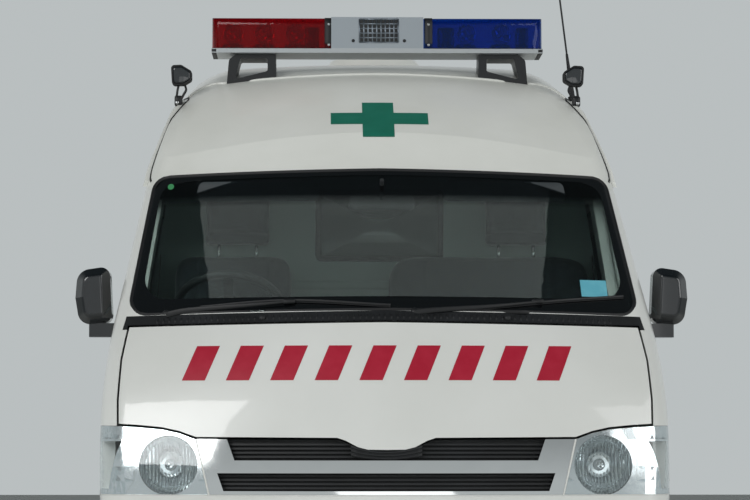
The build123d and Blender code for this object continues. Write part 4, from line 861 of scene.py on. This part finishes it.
# Cab: grained grey dashboard with an instrument hood, vents and a blank radio panel; black felt on the
# bulkhead; a foamed polyurethane steering wheel with its boss and two stalks on the column.
dash_plastic = finish("grained_grey_dash_moulding", "#363C3F", Roughness=0.62)
mottled(dash_plastic, "#343A3D", "#40474A", 200)
grained(dash_plastic, 1.8, 0.12, rough=(0.52, 0.72), kind="TexVoronoi")
dress(dash_plastic, "dashboard", "steering_column")
felt = finish("bitumen_backed_felt", "#1B1C1E", Roughness=0.95, Sheen_Weight=0.3)
mottled(felt, "#1A1B1D", "#2A2A2A", 25)
grained(felt, 1.5, 0.5)
dress(felt, "bulkhead")
foam_skin = finish("foamed_polyurethane_skin", "#1D2022", Roughness=0.55)
mottled(foam_skin, "#1C1F21", "#26292B", 60)
grained(foam_skin, 1.2, 0.08, rough=(0.48, 0.64), kind="TexVoronoi")
dress(foam_skin, "steering_wheel")
WHEEL = np.array([-0.525, NOSE + 0.985, 1.275])
AXIS = np.array([0, cos(radians(52)), sin(radians(52))])
ARCH_HALF, ARCH_BACK, ARCH_Z, ARCH_RISE = 0.180, 0.860, 1.200, 0.058
BOSS = [(-0.006, 0.060), (0.004, 0.062), (0.014, 0.056), (0.020, 0.040), (0.022, 0.018)]
VENTS_X, VENT_Z, VENT_R = (-0.760, -0.250, 0.010, 0.760), 1.085, 0.031
VENT = [(-0.004, 0.030), (-0.004, 0.038), (0.006, 0.037), (0.008, 0.034), (0.005, 0.030), (-0.004, 0.030)]
LEVER = [(-0.120, NOSE + 0.960, 0.950), (-0.130, NOSE + 1.030, 0.985), (-0.140, NOSE + 1.075, 1.060)]
KNOB = [(-0.020, 0), (-0.016, 0.014), (0.0, 0.022), (0.016, 0.020), (0.026, 0.010), (0.028, 0)]
turned("wheel_boss", BOSS, WHEEL, AXIS, 64, foam_skin, "steering_wheel")
fittings = []
wide = np.interp(np.linspace(0, 1, 24), (0, 0.5, 0.6, 1), (0.005, 0.005, 0.008, 0.007))
for side in (-1, 1):
    root = WHEEL - AXIS * 0.075 + (side * 0.028, 0, 0)
    line = smooth_line([root, root + (side * 0.05, 0.004, 0.006), root + (side * 0.115, 0.006, 0.016)], 24)
    fittings.append(carried("stalk", line, wide, wide * 0.8, foam_skin, face=(0, 0, 1)))
arch = [(WHEEL[0] - ARCH_HALF * cos(a), NOSE + ARCH_BACK, ARCH_Z + ARCH_RISE * sin(a))
        for a in np.linspace(0, pi, 40)]
fittings.append(carried("hood", arch, 0.007, 0.062, dash_plastic, boxy=4.0))
for seat in draped("dashboard", [(x, VENT_Z) for x in VENTS_X], "seats"):
    fittings.append(turned("vent", VENT, seat, (0, 1, 0.15), 48, foam_skin))
    for dz in (-0.018, -0.006, 0.006, 0.018):
        half = (VENT_R ** 2 - dz ** 2) ** 0.5
        blade = np.linspace(seat + (-half, 0.002, dz), seat + (half, 0.002, dz), 3)
        fittings.append(carried("blade", blade, 0.0012, 0.004, foam_skin, face=(0, 1, 0), sides=8))
panel_y = draped("dashboard", [(-0.12, 1.01)], "seats")[0][1]
rows = [(panel_y - 0.006, 0), (panel_y + 0.006, 0), (panel_y + 0.008, 0.002)]
fittings.append(slab("panel", oblong(-0.210, -0.030, 0.985, 1.036, 0.006, 0.004), rows, 1, gloss_black))
lever = smooth_line(LEVER, 30)
fittings.append(carried("lever", lever, 0.007, 0.007, gloss_black))
fittings.append(turned("knob", KNOB, lever[-1], (0, 0.3, 1), 36, foam_skin))
joined("dash_fittings", fittings, "body")

# Cab floor and partition: studded vinyl flooring over the pan, and a sprayed steel partition with pressed
# ribs and a small framed window.
vinyl_floor = finish("studded_vinyl_flooring", "#53585A", Roughness=0.6)
mottled(vinyl_floor, "#505557", "#646766", 150)
grained(vinyl_floor, 12, 0.5, rough=(0.5, 0.72), kind="TexVoronoi")
dress(vinyl_floor, "floor_pan")
grey_spray = finish("grey_sprayed_steel", "#93A29F", Roughness=0.5)
mottled(grey_spray, "#90A09C", "#9DABA8", 300)
grained(grey_spray, 4, 0.05, rough=(0.42, 0.6))
dress(grey_spray, "partition")
partition_glass = finish("tempered_partition_glass", "#AEB9B8", Roughness=0.02, Transmission_Weight=0.9)
grained(partition_glass, 200, 0.02)
lets_lamps_through(partition_glass, "#A3AEAD")
WINDOW, HALF_GAP = (-0.218, 0.244, 1.500, 1.750), 0.0005
PRESSED = ((0.95, 0.78), (1.10, 0.78), (1.25, 0.76), (1.40, 0.74), (1.85, 0.62), (1.98, 0.54))
ribs = []
for z, half in PRESSED:
    for y, toward in ((NOSE + 1.790, -1), (NOSE + 1.815, 1)):
        rib = np.linspace((-half, y, z), (half, y, z), 9)
        ribs.append(carried("rib", rib, 0.016, 0.006, grey_spray, face=(0, toward, 0), sides=16))
joined("partition_ribs", ribs, "body")
rows = [(NOSE + 1.800, 0.001), (NOSE + 1.8005, 0), (NOSE + 1.8045, 0), (NOSE + 1.805, 0.001)]
line = oblong(WINDOW[0] + HALF_GAP, WINDOW[1] - HALF_GAP, WINDOW[2] + HALF_GAP, WINDOW[3] - HALF_GAP, 0.004,
              0.01)
slab("partition_pane", line, rows, 1, partition_glass, "body")
line = oblong(*WINDOW, 0.012, 0.008)
frames = [carried("frame", np.insert(line, 1, y, axis=1), 0.011, 0.004, gasket_rubber, **SEAL)
          for y in (NOSE + 1.7895, NOSE + 1.8155)]
joined("partition_window_frame", frames, "body")

# Seats: moulded foam under dark woven cloth, with sewn channels, side bolsters and a piped edge. They stand
# on black covers on the seat box; the headrests stand on bright posts.
cloth = finish("dark_woven_seat_cloth", "#1C2328", Roughness=0.9, Sheen_Weight=0.35, Sheen_Roughness=0.5)
mottled(cloth, "#1A2126", "#252D33", 35, 0.35, 0.8)
# Threads 1.8 mm apart, coarser than real ones so that they show; a wave of scale 1 repeats every 0.314 m.
THREAD, WAVE = 0.0018, 0.314
place = {"Vector": add(cloth, "TexCoord").outputs["Object"]}
warp, weft = (add(cloth, "TexWave", place, bands_direction=way, Scale=WAVE / THREAD, Distortion=0.4)
              for way in "XZ")
weave = add(cloth, "Math", {0: warp.outputs["Fac"], 1: weft.outputs["Fac"]}, operation="MULTIPLY")
bump = add(cloth, "Bump", {"Height": weave.outputs["Value"]}, Distance=0.0004, Strength=1.0)
feed(cloth, Normal=bump.outputs["Normal"])
SEATS = (("driver_seat", -0.761, -0.304, -0.648, -0.388), ("passenger_seat", 0.030, 0.800, 0.395, 0.645))
COVER_ROWS = [(0.8235, 0.002), (0.826, 0), (0.884, 0), (0.890, 0.006)]
PIPED_ROW = 46


def bulged(swing, exponent):
    """Cosine or sine raised to a power of 2 over the exponent, its sign kept."""
    return np.sign(swing) * abs(swing) ** (2 / exponent)


def cushion(name, middle, along, face, half, crown, channels):
    """Crowned pad: the superellipsoid |x/a|^7 + |y/b|^7 + |z/c|^3 = 1, its sides drawn in between the
    corners, its face swollen at the middle, raised at the two sides and pressed in along sewn channels."""
    middle, along, face = (np.array(v, float) for v in (middle, along, face))
    u = np.linspace(0, 2 * pi, 144, endpoint=False)[None, :]
    v = np.linspace(-pi / 2, pi / 2, 73)[:, None]
    x = half[0] * bulged(np.cos(v), 3) * bulged(np.cos(u), 7)
    y = half[1] * bulged(np.cos(v), 3) * bulged(np.sin(u), 7)
    z = half[2] * bulged(np.sin(v), 3) + 0 * u
    shares, top = (x / half[0], y / half[1]), np.clip(z / half[2], 0, 1)
    sx, sy = shares
    z = z + crown * top * (1 - sx ** 2) * (1 - sy ** 2)
    z = z + 0.009 * top * np.exp(-((abs(sx) - 0.82) / 0.12) ** 2) * (1 - sy ** 6)
    for axis, at in channels:
        z = z - 0.009 * top * np.exp(-((shares[axis] - at) * half[axis] / 0.006) ** 2)
    x, y = x - 0.010 * sx * (1 - sy ** 2), y - 0.008 * sy * (1 - sx ** 2)
    flat = x[..., None] * np.cross(along, face) + y[..., None] * along
    raised = z[..., None] * face
    pad = closed(surface(name, middle + flat + raised, cloth, "body", wrap_v=True))
    edge = middle + 0.985 * flat[PIPED_ROW] + raised[PIPED_ROW]
    carried(name + "_piping", edge, 0.003, 0.003, foam_skin, "body", face=face, loop=True, sides=8)
    return pad


for name, x0, x1, head_x0, head_x1 in SEATS:
    middle_x, half_x, head_x = (x0 + x1) / 2, (x1 - x0) / 2 - 0.006, (head_x0 + head_x1) / 2
    channels = [(0, -0.62), (0, 0.62), (1, -0.25), (1, 0.35)] + ([(0, 0.0)] if half_x > 0.3 else [])
    seat = cushion(name + "_cushion", (middle_x, NOSE + 1.2325, 0.934), (0, -1, 0), (0, 0, 1),
                   (half_x, 0.241, 0.048), 0.014, channels)
    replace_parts(seat, name)
    cushion(name + "_back", (middle_x, NOSE + 1.5525, 1.2037), (0, 0.2768, 0.9609), (0, -0.9609, 0.2768),
            (half_x, 0.309, 0.046), 0.012, channels)
    cushion(name + "_headrest", (head_x, NOSE + 1.672, 1.636), (0, 0.1398, 0.9902), (0, -0.9902, 0.1398),
            ((head_x1 - head_x0) / 2 - 0.004, 0.101, 0.035), 0.008, [(1, -0.55)])
    line = oblong(x0 + 0.012, x1 - 0.012, NOSE + 1.012, NOSE + 1.478, 0.03, 0.01)
    stand = [slab("cover", line, COVER_ROWS, 2, polypropylene)]
    for x in (head_x0 + 0.060, head_x1 - 0.060):
        post = [(x, NOSE + 1.642, 1.480), (x, NOSE + 1.650, 1.520), (x, NOSE + 1.657, 1.560)]
        stand.append(carried("post", post, 0.006, 0.006, chromium, sides=16))
    joined(name + "_fittings", stand, "body")

# Belts and head trim: polyester webbing from each pillar, folded sun visors, and the inside mirror on its
# stalk behind the head of the screen. Each front door has a padded armrest.
webbing = finish("polyester_belt_webbing", "#202325", Roughness=0.8, Sheen_Weight=0.2)
mottled(webbing, "#1E2123", "#2A2D2F", 20)
grained(webbing, 12, 0.25, kind="TexWave", bands_direction="Z")
ARMREST_FROM, ARMREST_TO, ARMREST_Z = NOSE + 1.020, NOSE + 1.330, 1.000
BELT = ((0.800, 1.600, 1.500), (0.812, 1.585, 1.300), (0.818, 1.560, 1.050), (0.818, 1.535, 0.850))
VISOR = ((0.210, 1.640), (0.640, 1.636), (0.625, 1.705), (0.220, 1.712))
MIRROR = [(-0.115, 1.600), (0.115, 1.600), (0.110, 1.655), (-0.110, 1.655)]
for side, name in SIDES:
    strap = smooth_line([(side * x, NOSE + back, z) for x, back, z in BELT], 60)
    carried("belt_" + name, strap, 0.0235, 0.0009, webbing, "body", face=(side, 0, 0), boxy=5.0, sides=16)
trim = []
for side in (-1, 1):
    deep = draped("windscreen", [(side * 0.42, 1.675)], "front")[0][1] + 0.060
    line = rounded([(side * x, z) for x, z in VISOR], 0.02, 0.01)
    rows = [(deep, 0.004), (deep + 0.003, 0), (deep + 0.015, 0), (deep + 0.018, 0.004)]
    trim.append(slab("visor", line, rows, 1, dash_plastic))
deep = draped("windscreen", [(0.0, 1.640)], "front")[0][1] + 0.085
rows = [(deep, 0.010), (deep + 0.004, 0.002), (deep + 0.018, 0), (deep + 0.021, 0.003)]
trim.append(slab("mirror", rounded(MIRROR, 0.018, 0.006), rows, 1, foam_skin))
stem = smooth_line([(0.0, deep - 0.045, 1.705), (0.0, deep - 0.020, 1.675), (0.0, deep + 0.004, 1.640)], 16)
trim.append(carried("stem", stem, 0.007, 0.007, foam_skin))
joined("head_trim", trim, "body")
for side, name in SIDES:
    line = np.linspace((ARMREST_FROM, ARMREST_Z), (ARMREST_TO, ARMREST_Z), 30)
    laid("armrest_" + name, "door_" + name, line, (side * 0.5, (side, 0, 0)), 0.008, 0.024, 0.020,
         dash_plastic, "door_" + name, boxy=3.0, sides=20)

# Studio: pale painted floor, a pale surround that darkens overhead, and four large soft lamps. The camera
# stands low in front, as far off as the photograph was taken.
floor_paint = finish("studio_floor_paint", "#D9DAD6", Roughness=0.7)
grained(floor_paint, 60, 0.1)
FLOOR_HALF = 30
corners = np.array([[[x, y, 0.0] for x in (-FLOOR_HALF, FLOOR_HALF)] for y in (-FLOOR_HALF, FLOOR_HALF)])
outward(surface("studio_floor", corners, floor_paint, smooth=False), (0, 0, 1))
world = bpy.data.worlds.new("studio")
bpy.context.scene.world = world
world.use_nodes = True
sky = add(world, "ValToRGB", {"Fac": share_of_height(world, 0.25, 0.75, "Generated")},
          [(0.0, "#D3D9DA"), (1.0, "#3E4547")])
background = world.node_tree.nodes["Background"]
world.node_tree.links.new(sky.outputs["Color"], background.inputs["Color"])
background.inputs["Strength"].default_value = 0.75


def softbox(name, place, target, size, power):
    """Square area lamp that looks at a point."""
    lamp = bpy.data.lights.new(name, "AREA")
    lamp.shape, lamp.size, lamp.energy = "SQUARE", size, power
    holder = placed(name, lamp)
    holder.location = place
    holder.rotation_euler = (Vector(target) - Vector(place)).to_track_quat("-Z", "Y").to_euler()
    return holder


softbox("key_softbox", (-5.5, -8.5, 5.5), (0, -1.5, 1.0), 4.0, 310)
softbox("fill_softbox", (7.0, -6.0, 4.0), (0, -1.0, 1.0), 5.0, 175)
softbox("top_softbox", (0, 0.5, 8.0), (0, 0, 0), 6.0, 130).visible_glossy = False
softbox("front_softbox", (0.5, -13.0, 1.3), (0, -2.7, 1.0), 3.5, 36)
FOCAL_PIXELS, FRAME_PIXELS, FILM_MM, LOOK_UP, LOOK_ASIDE = 2843.0, 750.0, 36.0, 3.78, -1.08
eye = bpy.data.cameras.new("camera")
eye.sensor_width = FILM_MM
eye.lens = FOCAL_PIXELS * FILM_MM / FRAME_PIXELS
eye.clip_end = 200.0
camera = placed("camera", eye)
camera.location = (-0.205, -11.59, 0.828)
camera.rotation_euler = (radians(90 + LOOK_UP), 0, radians(LOOK_ASIDE))
bpy.context.scene.camera = camera
bpy.context.scene.view_settings.view_transform = "Standard"
